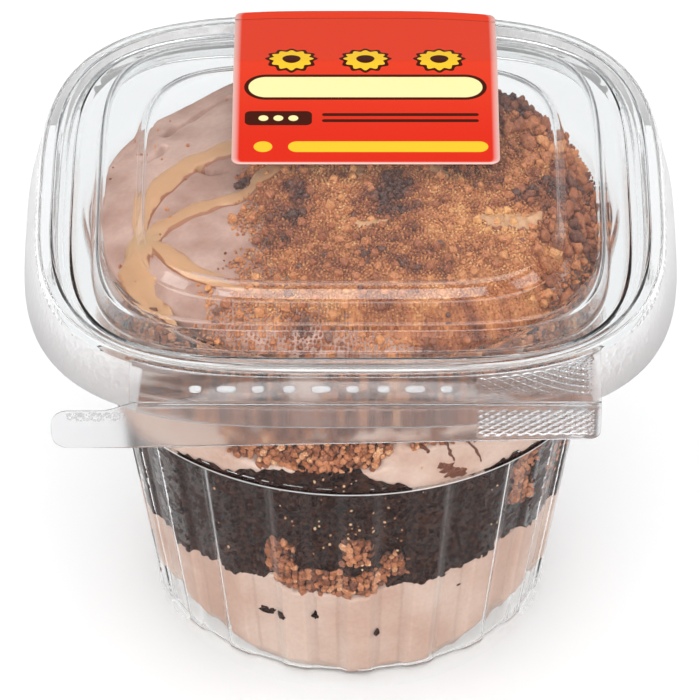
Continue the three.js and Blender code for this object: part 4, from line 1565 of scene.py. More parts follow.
@dataclass
class ParfaitFilling:
    """The three layers of food, with hollows for the crumbs pressed against the wall."""

    form: FoodForm

    def pocket(self, angle: Numbers, height: Numbers) -> Numbers:
        """How much of a crumb pocket lies at a place of the wall, from 0 to 1."""

        def spot(at: float, wide: float, middle: Numbers | float, tall: float) -> Numbers:
            """One soft-edged field."""
            across = 1 - ease(wide * 0.7, wide, np.abs(turn_between(angle, at)))
            return across * (1 - ease(tall * 0.7, tall, np.abs(height - middle)))

        wander = 0.9 * lump_noise(wall_points(angle, height), 2.2, 15)
        low = 23.6 + 2.6 * (turn_between(angle, -1.64) / 0.3) ** 2 + wander
        return np.maximum.reduce([
            spot(-1.655, 0.31, low, 3.2),
            spot(-1.9, 0.085, 28.4 + wander, 5.0),
            spot(-1.55, 0.07, 31.4 + wander, 3.6),
            spot(-1.37, 0.065, 27.6 + wander, 3.6),
            spot(-0.705, 0.085, 39.0, 8.6),
        ])

    def band(self, angle: Numbers, height: Numbers) -> Numbers:
        """The band of crumbs in the top icing at the front left."""
        wander = lump_noise(wall_points(angle, height), 3.0, 101)
        left = ease(-2.14, -2.0, angle + 0.04 * wander) * (1 - ease(-1.46, -1.38, angle + 0.04 * wander))
        return left * (1 - ease(2.8, 3.6, np.abs(height - 54.3 - 1.2 * (angle + 1.9) - 0.8 * wander)))

    def line(self, angle: Numbers, height: Numbers) -> Numbers:
        """The thin line of crumbs along the front right, which widens to the right."""
        middle = 56.2 - 3.6 * ease(-1.3, -0.72, angle)
        tall = 1 + 2.4 * ease(-1.05, -0.75, angle)
        across = ease(-1.4, -1.3, angle) * ease(-0.45, -0.6, angle)
        return across * (1 - ease(0.5, 1.1, np.abs(height - middle) / tall))

    def side_drift(self, angle: Numbers, height: Numbers) -> Numbers:
        """The loose crumbs at the right."""
        spotty = ease(-0.1, 0.2, layered_noise(wall_points(angle, height), 5.0, 103, 2))
        across = spotty * ease(-0.62, -0.42, angle) * ease(0.95, 0.7, angle)
        return across * ease(26, 30, height) * ease(62, 58, height)

    def above(self, angle: Numbers, height: Numbers) -> Numbers:
        """The crumbs that show under the rim, nearly all over at the front."""
        noise = layered_noise(wall_points(angle, height), 6.0, 104, 2)
        front = ease(-2.75, -2.4, angle) * (1 - ease(-0.2, 0.3, angle))
        tall = ease(57.5, 60.5, height + 4 * noise) * ease(72.0, 70.0, height)
        return tall * np.maximum(front * ease(-0.5, -0.25, noise), ease(0.0, 0.3, noise) * 0.8)

    def strewn(self, angle: Numbers, height: Numbers) -> Numbers:
        """Where crumbs lie between the wall and the icing, from 0 to 1."""
        angle = turn_between(angle, 0.0)
        zones = (self.pocket, self.band, self.line, self.side_drift, self.above)
        return np.maximum.reduce([zone(angle, height) for zone in zones])

    def cake_dent(self, angle: Numbers, height: Numbers) -> Numbers:
        """How far the cake's side stays behind the wall: pits, cracks and the pockets."""
        places = wall_points(angle, height)
        coarse = layered_noise(places, 2.4, 21, 3)
        fine = layered_noise(places, 0.8, 31, 2)
        pits = 1.7 * np.clip(coarse - 0.02, 0, 1) + 0.8 * np.clip(fine, 0, 1)
        return pits + 2.0 * self.pocket(angle, height)

    def icing_dent(self, angle: Numbers, height: Numbers) -> Numbers:
        """How far the icing's side stays behind the wall."""
        places = wall_points(angle, height)
        hollows = 0.16 * np.clip(lump_noise(places * np.array([1.0, 1.0, 0.35]), 5.0, 41), 0, 1)
        aside = ease(0.3, 0.9, np.abs(np.cos(angle)))
        foot = ease(6.0 + 6.0 * aside, 3.2, height + 1.2 * lump_noise(places, 9.0, 42))
        low = (1.3 + 2.6 * aside) * foot**1.3
        return hollows + 1.9 * self.strewn(angle, height) + self.form.shoulder_gap(angle, height) + low

    def rough(self, angle: Numbers, width: Numbers, seed: int, amount: float) -> Numbers:
        """Small crumbly steps of a line between layers."""
        places = around(width, angle, np.zeros_like(angle))
        lumps = layered_noise(places, 1.3, seed + 3, 2)
        return amount * (layered_noise(places, 3.2, seed, 3) + 0.8 * np.sign(lumps) * np.abs(lumps) ** 0.6)

    def floor(self, angle: Numbers, width: Numbers) -> Numbers:
        """The floor of the cup, which the bottom icing lies on."""
        return np.full_like(angle, self.form.cup.floor + self.form.cup.wall - LAP)

    def icing_line(self, angle: Numbers, width: Numbers) -> Numbers:
        """The line between the bottom icing and the cake."""
        return self.form.base_line(angle, width) + self.rough(angle, width, 51, 0.7)

    def sponge_line(self, angle: Numbers, width: Numbers) -> Numbers:
        """The line between the cake and the top icing."""
        return self.form.cake_line(angle, width) + self.rough(angle, width, 52, 1.0)

    def spread_line(self, angle: Numbers, width: Numbers) -> Numbers:
        """The spread top of the top icing."""
        return self.form.top(width * np.cos(angle), width * np.sin(angle))

    def build(self, layer: Layer, material: Finish) -> Piece:
        """Builds one of the three layers in place of its solid.

        Args:
            layer: Which layer.
            material: Its material.

        Returns:
            The object.
        """
        icing, sponge = self.icing_dent, self.cake_dent
        low, high, dent, sizes = {
            Layer.BASE: (self.floor, self.icing_line, icing, (60, 720, 14)),
            Layer.CAKE: (sunk(self.icing_line), self.sponge_line, sponge, (88, 880, 8)),
            Layer.CROWN: (sunk(self.sponge_line), self.spread_line, icing, (50, 520, 100)),
        }[layer]
        name, node = layer.value
        return FoodLayer(self.form, name, low, high, dent, *sizes).build(material, node)


@dataclass
class DrizzleRibbons:
    """Wide flat ribbons of drizzle on the bare part of the icing."""

    form: FoodForm
    ground: Field
    depth: float = 0.5
    ribbons: tuple[tuple[tuple[float, float, float], ...], ...] = (
        (
            (-33.4, -9.0, 0.6), (-33.0, -3.0, 1.7), (-30.2, 4.6, 2.4),
            (-25.0, 10.2, 2.4), (-18.0, 13.6, 2.2), (-11.0, 15.6, 1.8),
        ),
        (
            (-35.4, -13.5, 1.6), (-31.5, -8.6, 2.4), (-26.6, -4.4, 2.2),
            (-20.6, -1.4, 2.0), (-14.0, 1.6, 1.9), (-9.0, 4.6, 1.4),
        ),
        ((-30.5, -8.0, 2.0), (-33.6, -13.5, 2.8), (-33.6, -20.0, 3.0), (-31.2, -26.0, 2.6), (-27.5, -30.5, 1.6)),
        ((-32.4, -9.8, 1.5), (-28.8, -14.2, 1.9), (-25.0, -19.0, 1.9), (-19.0, -23.4, 1.7), (-13.0, -25.6, 1.2)),
        ((-15.0, 5.0, 1.0), (-10.0, 8.4, 2.4), (-4.0, 7.4, 2.6), (0.6, 4.6, 1.8), (1.4, 0.6, 0.8)),
        ((4.0, 12.0, 1.0), (7.0, 9.4, 2.0), (11.0, 5.0, 2.0), (15.5, 1.0, 0.8)),
        ((20.0, -9.0, 0.9), (24.0, -10.6, 2.0), (27.5, -9.6, 2.2), (30.5, -7.0, 0.9)),
        ((0.0, -10.0, 0.6), (2.8, -11.2, 1.3), (6.0, -10.4, 0.6)),
    )

    def ribbon(self, plan: Sequence[tuple[float, float, float]], seed: int) -> Piece:
        """One ribbon through a few places.

        Args:
            plan: X, Y and half width at each place.
            seed: Which uneven edge.

        Returns:
            The object.
        """
        rows = np.array(plan)
        at = np.linspace(0, 1, len(rows))
        t = np.linspace(0, 1, 70)
        line = np.stack([smooth_curve(at, rows[:, k], t) for k in range(3)], axis=-1)
        run = np.gradient(line[:, :2], axis=0)
        run /= np.linalg.norm(run, axis=1, keepdims=True)
        side = np.stack([-run[:, 1], run[:, 0]], axis=-1)
        taper = np.sqrt(np.clip(1 - (2 * t - 1) ** 8, 0, 1))
        share = np.linspace(-1, 1, 19)
        on_heap = seed > 63
        uneven = 0.75 if on_heap else 0.28
        pitch = 30 if on_heap else 14
        edges = [
            (1 + uneven * lump_noise(on_plan(t * pitch, np.full_like(t, k * 5.0)), 1.0, seed)) * line[:, 2] * taper
            for k in (0, 1)
        ]
        half = np.where(share[None, :] < 0, edges[0][:, None], edges[1][:, None])
        plan_x = line[:, :1] + side[:, :1] * share * half
        plan_y = line[:, 1:2] + side[:, 1:2] * share * half
        squeeze = np.minimum(1, (self.form.food_radius - 0.6) / np.hypot(plan_x, plan_y))
        plan_x, plan_y = plan_x * squeeze, plan_y * squeeze
        base = np.maximum(self.form.top(plan_x, plan_y), self.ground(plan_x, plan_y) + 0.34)
        rise = self.depth * np.clip(1 - share**2, 0, 1) ** 0.7 * (0.8 + 0.2 * taper[:, None])
        upper, lower = (np.stack([plan_x, plan_y, z], axis=-1) for z in (base - 0.12 + rise, base - 0.5))
        piece = sheet_piece("ribbon", upper, lower)
        low_side = 0.5 - 0.5 * side[:, 1:2] * share
        outward = np.abs(share)[None, :] * (0.62 + 0.38 * ease(0.35, 0.65, low_side)) + 0.0 * plan_x
        note(piece, "outward", np.concatenate([outward.ravel()] * 2))
        face_out(piece)
        return piece

    def build(self, material: Finish) -> Piece:
        """Builds all ribbons as one piece."""
        parts = [dressed(self.ribbon(plan, 60 + k), material) for k, plan in enumerate(self.ribbons)]
        return join("drizzle_ribbons", parts)


def smooth_curve(at: Numbers, values: Numbers, where: Numbers) -> Numbers:
    """A smooth curve through a few values.

    Args:
        at: Where the values stand.
        values: The values.
        where: Where the curve is wanted.

    Returns:
        Its values there.
    """
    slopes = np.gradient(values, at)
    k = np.clip(np.searchsorted(at, where, side="right") - 1, 0, len(at) - 2)
    h = at[k + 1] - at[k]
    t = (where - at[k]) / h
    start = values[k] * (1 + 2 * t) * (1 - t) ** 2 + slopes[k] * h * t * (1 - t) ** 2
    return start + values[k + 1] * t * t * (3 - 2 * t) + slopes[k + 1] * h * t * t * (t - 1)


# ---- Crushed pieces ----


class Crumb(Enum):
    """Kinds of crushed pieces."""

    DUST = "dust"
    FINE = "fine"
    BROKEN = "broken"
    CLUMP = "clump"
    LUMP = "lump"
    CHIP = "chip"


@dataclass
class CrumbScatter:
    """Scatters crushed pieces over a surface, as one geometry tree."""

    shapes: dict[Crumb, Piece] = field(default_factory=dict)

    def shape(self, kind: Crumb) -> Piece:
        """The crumb that is repeated: a lump with its corners pushed in and out.

        Args:
            kind: Which kind.

        Returns:
            The object, not shown by itself, whose size is about 1 mm across.
        """
        if kind not in self.shapes:
            level = {Crumb.CLUMP: 2, Crumb.LUMP: 3}.get(kind, 1)
            work = bmesh.new()
            bmesh.ops.create_icosphere(work, subdivisions=level, radius=0.5 * MM)
            points = np.array([v.co[:] for v in work.verts]) / MM
            grain = 0.4 if level > 1 else 0.55
            rough = layered_noise(points + 3.0, grain, 70 + len(self.shapes), 3)
            if kind is Crumb.LUMP:
                rough = rough + 0.55 * layered_noise(points - 4.0, 0.17, 75, 2)
            squash = np.array([1.0, 0.85, 0.72])
            for vert, place, push in zip(work.verts, points, rough):
                vert.co = Vector((place * squash * (1 + 0.5 * push) * MM).tolist())
            mesh = bpy.data.meshes.new(kind.value)
            work.to_mesh(mesh)
            work.free()
            if kind is Crumb.LUMP:
                mesh.shade_smooth()
            self.shapes[kind] = placed(kind.value, mesh)
        return self.shapes[kind]

    def tree(self) -> Tree:
        """Builds the geometry tree: places by a stored cover, random turn, size and shade."""
        sizes = {"Spacing": 0.001, "Most": 1e6, "Smallest": 0.6, "Largest": 1.4, "Sink": 0.0, "Vary": 0.15, "Seed": 0}
        tree, given, end = geometry_tree("crumb_scatter", {"Crumb": "Object", **sizes})
        spread = add_node(tree, "GeometryNodeDistributePointsOnFaces", distribute_method="POISSON")
        most = {"Distance Min": given["Spacing"], "Density Max": given["Most"], "Seed": given["Seed"]}
        feed(spread, {"Mesh": given["Geometry"], "Density Factor": reading(tree, "cover"), **most})
        down = scaled(Signal(spread.outputs["Normal"]), given["Sink"] * -1.0)
        lowered = shape_node(tree, "SetPosition", {"Geometry": Signal(spread.outputs["Points"]), "Offset": down})
        turn = self._random(tree, given["Seed"], 0, {0: (0.0, 0.0, 0.0), 1: (TURN, TURN, TURN)}, "FLOAT_VECTOR")
        size = self._random(tree, given["Seed"], 1, {2: given["Smallest"], 3: given["Largest"]})
        source = add_node(tree, "GeometryNodeObjectInfo", {"Object": given["Crumb"]})
        crumbs = {"Instance": Signal(source.outputs["Geometry"]), "Rotation": turn, "Scale": size}
        placed = shape_node(tree, "InstanceOnPoints", {"Points": lowered, **crumbs})
        spot = self._random(tree, given["Seed"], 2, {2: given["Vary"] * -1.0, 3: given["Vary"]})
        mixed = maths("ADD", reading(tree, "shade"), spot, clamp=True)
        inputs = {"Geometry": placed, "Name": "crumb_shade", "Value": mixed}
        shaded = shape_node(tree, "StoreNamedAttribute", inputs, data_type="FLOAT", domain="INSTANCE")
        finish_tree(tree, end, shaded, given["Material"])
        return tree

    @staticmethod
    def _random(tree: Tree, seed: Signal, draw: int, limits: dict[int, Value], kind: str = "FLOAT") -> Signal:
        """Adds a random draw between two limits, which are keyed by input number."""
        made = add_node(tree, "FunctionNodeRandomValue", data_type=kind)
        feed(made, {**limits, "Seed": seed + float(draw) if draw else seed})
        return Signal(made.outputs[0 if kind == "FLOAT_VECTOR" else 1])

    def scatter(
        self, name: str, ground: Piece, kind: Crumb, spacing: float, sizes: tuple[float, float],
        sink: float, seed: int, material: Finish, vary: float,
    ) -> Piece:
        """Scatters one kind over a surface.

        Args:
            name: The piece's name.
            ground: The surface, with its cover and its shade stored; it is used up.
            kind: Which kind of crumb.
            spacing: Least distance between two crumbs.
            sizes: Smallest and largest crumb, in millimetres across.
            sink: How far a crumb's middle lies under the surface.
            seed: Which draw.
            material: Its material.
            vary: How much the shade differs from crumb to crumb.

        Returns:
            The crumbs as one plain mesh.
        """
        ground.name = name
        values = {"Crumb": self.shape(kind), "Smallest": sizes[0], "Largest": sizes[1], "Vary": vary, "Seed": seed}
        places = {"Spacing": spacing * MM, "Most": 1e8, "Sink": sink * MM}
        grow(ground, self.tree(), {**values, **places, "Material": material})
        attributes = ground.data.attributes
        for label in ("shade", "cover"):
            if label in attributes:
                attributes.remove(attributes[label])
        attributes["crumb_shade"].name = "shade"
        return ground

    def clear(self) -> None:
        """Removes the shapes that were repeated."""
        for shape in self.shapes.values():
            bpy.data.objects.remove(shape)
        self.shapes.clear()


@dataclass
class CrushedTopping:
    """The heap of crushed pieces on the icing, from fine crumbs to lumps."""

    form: FoodForm
    scatter: CrumbScatter
    rings: int = 90
    steps: int = 340

    EDGE = (
        (-41.0, -36.0, -29.0, -23.0, -12.0, 0.0, 15.0, 28.0, 41.0),
        (-30.0, -29.0, -23.0, -19.5, -16.5, -16.0, -13.0, -9.0, -6.0),
    )
    TINTS = (
        (-9.0, -4.6, 2.8, 6.0, 0.5), (-17.3, 2.6, 3.0, 2.0, 0.5), (7.6, -3.0, 3.6, 6.5, 0.5),
        (17.6, 8.7, 6.5, 3.4, 0.5), (34.0, -2.0, 5.0, 14.0, 0.3), (24.0, 26.0, 8.0, 8.0, 0.3),
        (-6.0, 7.0, 7.0, 4.0, -0.65), (2.0, 4.0, 3.0, 4.0, -0.4), (10.5, 6.0, 5.5, 3.0, -0.5),
        (25.0, -10.0, 6.0, 3.4, -0.5), (2.8, -11.0, 3.4, 2.2, -0.4), (-10.0, -28.0, 12.0, 8.0, -0.3),
        (22.0, -34.0, 4.0, 3.0, 0.5), (-8.0, -33.0, 4.0, 3.0, 0.3), (-2.0, -24.0, 5.0, 3.0, 0.25),
    )

    def cover(self, x: Numbers, y: Numbers) -> Numbers:
        """Where fine crumbs lie on the top, from 0 to 1."""
        places = on_plan(x, y)
        wander = 4.4 * layered_noise(places, 6.0, 81, 3)
        wander = wander + 1.6 * lump_noise(places, 2.0, 83)
        line = x + wander - np.interp(y, *self.EDGE)
        bare = layered_noise(places, 4.5, 82, 2)
        patches = 1 - ease(0.1, 0.35, bare) * ease(3, -10, line - 6 - 0.2 * y)
        return ease(-2.5, 2.5, line) * patches

    def shade(self, x: Numbers, y: Numbers) -> Numbers:
        """How dark the crumbs are, from 0, golden, to 1, dark brown."""
        places = on_plan(x, y)
        broad = layered_noise(places, 7.0, 91, 2)
        fine = layered_noise(places, 2.3, 92, 2)
        level = 0.44 + 0.28 * broad + 0.42 * fine
        for cx, cy, wide, deep, amount in self.TINTS:
            level = level + amount * np.exp(-(((x - cx) / wide) ** 2) - ((y - cy) / deep) ** 2)
        return np.clip(level, 0, 1)

    def ground(self, raised: float, cover: Field) -> Piece:
        """The surface that crumbs are scattered on.

        Args:
            raised: How far it stands above the heap.
            cover: Where crumbs lie.

        Returns:
            A disc with its cover and shade stored.
        """
        shares = np.linspace(0.0, 1.0, self.rings)
        w, a = np.meshgrid(shares, np.arange(self.steps) / self.steps * TURN, indexing="ij")
        x, y = w * self.form.food_radius * np.cos(a), w * self.form.food_radius * np.sin(a)
        z = np.maximum(self.surface(x, y), self.form.top(x, y)) + raised
        points = np.stack([x, y, z], axis=-1).reshape(-1, 3)
        piece = mesh_piece("ground", points, loop_faces(self.rings, self.steps))
        note(piece, "cover", cover(x, y).ravel())
        note(piece, "shade", self.shade(x, y).ravel())
        return piece

    def surface(self, x: Numbers, y: Numbers) -> Numbers:
        """Height of the topping's surface: the icing, with the heap where it lies."""
        edge = self.form.heap_edge(np.arctan2(y, x))
        share = np.hypot(x, y) / self.form.food_radius
        heap = ease(1.02, 0.86, share / edge)
        places = on_plan(x, y)
        clumps = 0.55 * layered_noise(places, 4.2, 95, 2) + 0.3 * layered_noise(places, 1.5, 96, 2)
        clumps = clumps * (1 + 0.9 * ease(14, 30, x))
        return self.form.top(x, y) + heap * (0.45 + self.form.topping_depth(x, y) + clumps) - 0.35 * (1 - heap)

    def bed(self, material: Finish) -> Piece:
        """The closed heap under the loose crumbs, in place of its solid."""
        piece = self.ground(0.0, self.cover)
        points = corners(piece)
        angle = np.arctan2(points[:, 1], points[:, 0])
        edge = self.form.heap_edge(angle) * self.form.food_radius * 1.01
        points[:, :2] *= np.minimum(1, edge / self.form.food_radius)[:, None]
        x, y = points[:, 0], points[:, 1]
        points[:, 2] = self.surface(x, y)
        under = points.copy()
        under[:, 2] = self.form.top(x, y) - 1.0
        count = len(points)
        faces = loop_faces(self.rings, self.steps)
        last = np.arange((self.rings - 1) * self.steps, self.rings * self.steps)
        faces = np.concatenate([faces, faces[:, ::-1] + count, rim_faces(last, count, flip=True)])
        bpy.data.meshes.remove(piece.data)
        whole = mesh_piece("crumble_bed", np.concatenate([points, under]), faces)
        note(whole, "shade", np.concatenate([self.shade(x, y)] * 2))
        face_out(whole)
        dressed(whole, material)
        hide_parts("crumble_topping")
        return whole

    def build(self, sweet: Finish, chips: Finish, dust: Finish) -> list[Piece]:
        """Builds the heap and the crumbs on it.

        Args:
            sweet: Tan to brown pieces.
            chips: Dark pieces.
            dust: The finest, shinier crumbs.

        Returns:
            The pieces.
        """

        def strewn(x: Numbers, y: Numbers) -> Numbers:
            """A few crumbs on the bare icing, and many on the heap."""
            return np.maximum(self.cover(x, y), 0.009)

        def dark(x: Numbers, y: Numbers) -> Numbers:
            """Dark pieces lie where the topping is darkest."""
            cover = self.cover(x, y)
            return ease(0.6, 0.85, self.shade(x, y)) * cover * 0.8 + 0.02 * cover

        def rim(x: Numbers, y: Numbers) -> Numbers:
            """Lumps lie mostly at the right and the back."""
            away = np.hypot(x, y)
            right = ease(27, 35, away) * ease(12, 24, x) * ease(-30, -6, y)
            return self.cover(x, y) * (0.012 + 0.75 * right) * ease(40.5, 39.0, away)

        def dusty(x: Numbers, y: Numbers) -> Numbers:
            """The finest crumbs lie on the middle of the heap."""
            return self.cover(x, y) * ease(36, 33, np.hypot(x, y)) * ease(-19, -15, x)

        pieces = [self.bed(sweet)]
        for name, raised, cover, kind, spacing, sizes, sink, draw, finish, vary in (
            ("crumb_dust", 0.32, dusty, Crumb.DUST, 0.56, (0.3, 0.6), 0.0, 28, dust, 0.18),
            ("fine_crumbs", 0.05, strewn, Crumb.FINE, 0.58, (0.4, 0.95), 0.05, 0, sweet, 0.1),
            ("broken_crumbs", 0.1, self.cover, Crumb.CLUMP, 2.7, (0.9, 2.1), 0.5, 7, sweet, 0.1),
            ("crumble_lumps", 0.3, rim, Crumb.LUMP, 2.3, (1.7, 3.2), 0.4, 14, sweet, 0.14),
            ("dark_chips", 0.1, dark, Crumb.CHIP, 1.4, (0.8, 1.9), 0.25, 21, chips, 0.16),
        ):
            ground = self.ground(raised, cover)
            pieces.append(self.scatter.scatter(name, ground, kind, spacing, sizes, sink, SEED + draw, finish, vary))
        return pieces


@dataclass
class WallPatch:
    """A place on the inside of the wall where crumbs are pressed against it."""

    name: str
    angles: tuple[float, float]
    heights: tuple[float, float]
    cover: Field
    spacing: float
    sizes: tuple[float, float]
    shade: float
    node: str | None = None
    depth: float = 0.35
    deep: bool = True


@dataclass
class WallCrumbs:
    """Crumbs pressed between the food and the wall."""

    form: FoodForm
    filling: ParfaitFilling
    scatter: CrumbScatter

    def patches(self) -> list[WallPatch]:
        """All places where crumbs show through the wall."""

        food = self.filling

        def cake(angle: Numbers, height: Numbers) -> Numbers:
            """The cake's own crumbs, out to its ragged lines."""
            wander = 0.9 * lump_noise(wall_points(angle, height), 1.6, 106)
            width = np.full_like(angle, RIM_WIDTH)
            low, high = self.form.base_line(angle, width), self.form.cake_line(angle, width)
            inside = ease(low - 0.2, low + 0.5, height + wander) * ease(high + 0.3, high - 0.4, height + wander)
            return inside * (1 - food.pocket(angle, height))

        def sparkle(angle: Numbers, height: Numbers) -> Numbers:
            """Tiny pale grains on the front of the cake."""
            middle = np.exp(-((turn_between(angle, -1.55) / 0.22) ** 2) - ((height - 40.5) / 9.0) ** 2)
            spotty = ease(-0.1, 0.3, layered_noise(wall_points(angle, height), 2.2, 107, 2))
            flat = 1 - ease(0.0, 0.25, self.form.cup.bends(height, angle))
            return (0.05 + 0.95 * middle) * spotty * flat

        pocket, coarse = food.pocket, (1.0, 2.0)
        front, right = "crumb_pocket_front", "crumb_pocket_right"
        around_cup = (-3.14, 3.14)
        return [
            WallPatch("front_pocket_crumbs", (-2.04, -1.15), (20, 37.5), pocket, 0.95, coarse, 0.42, front),
            WallPatch("right_pocket_crumbs", (-0.82, -0.58), (29, 48), pocket, 0.95, coarse, 0.44, right),
            WallPatch("band_crumbs", (-2.32, -1.34), (50, 60), food.band, 0.95, coarse, 0.36),
            WallPatch("line_crumbs", (-1.42, -0.44), (48, 61), food.line, 0.9, (0.8, 1.7), 0.4),
            WallPatch("side_crumbs", (-0.62, 0.95), (26, 62), food.side_drift, 1.2, (1.0, 2.2), 0.48),
            WallPatch("upper_crumbs", around_cup, (57, 71.0), food.above, 1.3, (1.1, 2.3), 0.44),
            WallPatch("cake_crumbs", around_cup, (18, 54), cake, 1.75, (1.0, 2.3), 0.5, deep=False),
            WallPatch(
                "cake_sparkles", (-2.3, -0.7), (27, 52), sparkle, 0.95, (0.25, 0.65), 0.04, depth=0.0, deep=False
            ),
        ]

    def emitter(self, patch: WallPatch, depth: float, shade: float) -> Piece:
        """The part of the wall that a patch covers.

        Args:
            patch: The patch.
            depth: How far behind the wall it stands.
            shade: How dark its crumbs are.

        Returns:
            A sheet with its cover and shade stored.
        """
        wide = max(int((patch.angles[1] - patch.angles[0]) * WALL / 0.6), 8)
        tall = max(int((patch.heights[1] - patch.heights[0]) / 0.5), 8)
        a, z = np.meshgrid(np.linspace(*patch.angles, wide), np.linspace(*patch.heights, tall), indexing="ij")
        r = self.form.cup.inside(z, a) - depth
        points = around(r, a, z).reshape(-1, 3)
        faces = grid_faces(wide, tall)[:, [0, 3, 2, 1]]
        piece = mesh_piece(patch.name, points, faces)
        note(piece, "cover", patch.cover(a, z).ravel())
        places = wall_points(a.ravel(), z.ravel())
        note(piece, "shade", np.clip(shade + 0.15 * layered_noise(places, 2.5, 105, 2), 0, 1))
        return piece

    def press(self, piece: Piece) -> None:
        """Flattens crumbs where they would pass through the wall."""
        points = corners(piece)
        if not len(points):
            return
        angle = np.arctan2(points[:, 1], points[:, 0])
        face = self.form.cup.inside(points[:, 2], angle) + self.form.reach + 0.08
        limit = face - self.form.cup.bends(points[:, 2], angle)
        radius = np.hypot(points[:, 0], points[:, 1])
        points[:, :2] *= np.minimum(1, limit / np.maximum(radius, 1e-6))[:, None]
        put_corners(piece, points)

    def build(self, sweet: Finish, cake: Finish) -> list[Piece]:
        """Builds the crumbs of every patch, the dark flakes and the threads at the wall.

        Args:
            sweet: Tan to brown pieces.
            cake: The cake's own material.

        Returns:
            The pieces.
        """
        made = []
        for k, patch in enumerate(self.patches()):
            finish = cake if patch.name == "cake_crumbs" else sweet
            kind = Crumb.CHIP if patch.name == "cake_sparkles" else Crumb.BROKEN
            sheet = self.emitter(patch, patch.depth, patch.shade)
            outer = (patch.spacing, patch.sizes, 0.0, SEED + 30 + k, finish, 0.28)
            layers = [self.scatter.scatter(patch.name, sheet, kind, *outer)]
            if patch.deep:
                # The deeper layer is 0.3 darker in shade: painted shade in the gaps between the front crumbs.
                sheet = self.emitter(patch, patch.depth + 0.85, patch.shade + 0.3)
                sizes = (patch.sizes[0] * 1.5, patch.sizes[1] * 1.4)
                inner = (patch.spacing * 1.5, sizes, 0.0, SEED + 50 + k, finish, 0.2)
                layers.append(self.scatter.scatter(patch.name, sheet, kind, *inner))
            piece = join(patch.name, layers) if len(layers) > 1 else layers[0]
            self.press(piece)
            if patch.node:
                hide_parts(patch.node)
            made.append(piece)
        made.append(self.flakes("cake_specks", self.SPECKS, cake))
        made.append(self.flakes("sauce_threads", [*self.threads(), *self.CHUNK], sweet))
        return made

    SPECKS = (
        (-2.0, 15.3, 1.35, 0.75), (-1.965, 15.6, 0.6, 0.5), (-1.915, 15.1, 0.8, 0.75),
        (-1.746, 16.1, 0.55, 0.85), (-1.439, 12.3, 0.55, 0.7), (-1.02, 19.4, 0.4, 0.2),
        (1.4, 14.0, 0.7, 0.5), (2.4, 11.5, 0.6, 0.6), (0.6, 16.5, 0.8, 0.5),
    )

    CHUNK = ((-1.21, 50.9, 0.7, 0.8), (-1.185, 50.2, 1.1, 1.0), (-1.165, 49.0, 1.3, 1.1), (-1.13, 48.6, 1.2, 0.9))

    @staticmethod
    def threads() -> list[tuple[float, float, float, float]]:
        """Places and sizes of the small drops that make up thin wavy threads."""
        spots = []
        for start, stop in (
            ((-1.2, 55.4), (-1.155, 51.6)),
            ((-1.11, 55.2), (-1.035, 49.6)),
            ((-1.3, 56.2), (-1.27, 54.4)),
        ):
            for t in np.linspace(0, 1, 20):
                size = 0.1 + 0.16 * math.sin(5 * t + start[1]) ** 2
                angle = start[0] + (stop[0] - start[0]) * t
                angle += 0.005 * math.sin(4.5 * t + stop[1]) + 0.002 * math.sin(17 * t)
                spots.append((angle, start[1] + (stop[1] - start[1]) * t, size, 0.3))
        return spots

    def flakes(self, name: str, spots: Sequence[tuple[float, float, float, float]], material: Finish) -> Piece:
        """Flat ragged flakes at the wall.

        Args:
            name: The piece's name.
            spots: Direction, height and half sizes of each flake.
            material: Its material.

        Returns:
            The piece.
        """
        parts = []
        for k, (angle, height, wide, tall) in enumerate(spots):
            ring = np.arange(18) / 18 * TURN
            loop = np.stack([np.cos(ring) * 2.6, np.sin(ring) * 2.6, np.full_like(ring, k * 3.0)], axis=-1)
            ragged = 1 + 0.5 * lump_noise(loop, 1.0, 110 + k)
            rows = []
            for inset, share in ((1.2, 0.0), (1.2, 0.7), (0.45, 1.0), (-0.05, 0.9), (-0.05, 0.0)):
                a = angle + share * wide * ragged * np.cos(ring) / 34
                z = height + share * tall * ragged * np.sin(ring)
                r = self.form.cup.inside(z, a) + self.form.reach - inset * 0.6
                rows.append(around(r, a, z))
            piece = mesh_piece("flake", np.concatenate(rows), loop_faces(len(rows), 18))
            note(piece, "shade", np.full(len(rows) * 18, 0.72))
            face_out(piece)
            parts.append(dressed(piece, material))
        return join(name, parts)


# ---- Studio ----


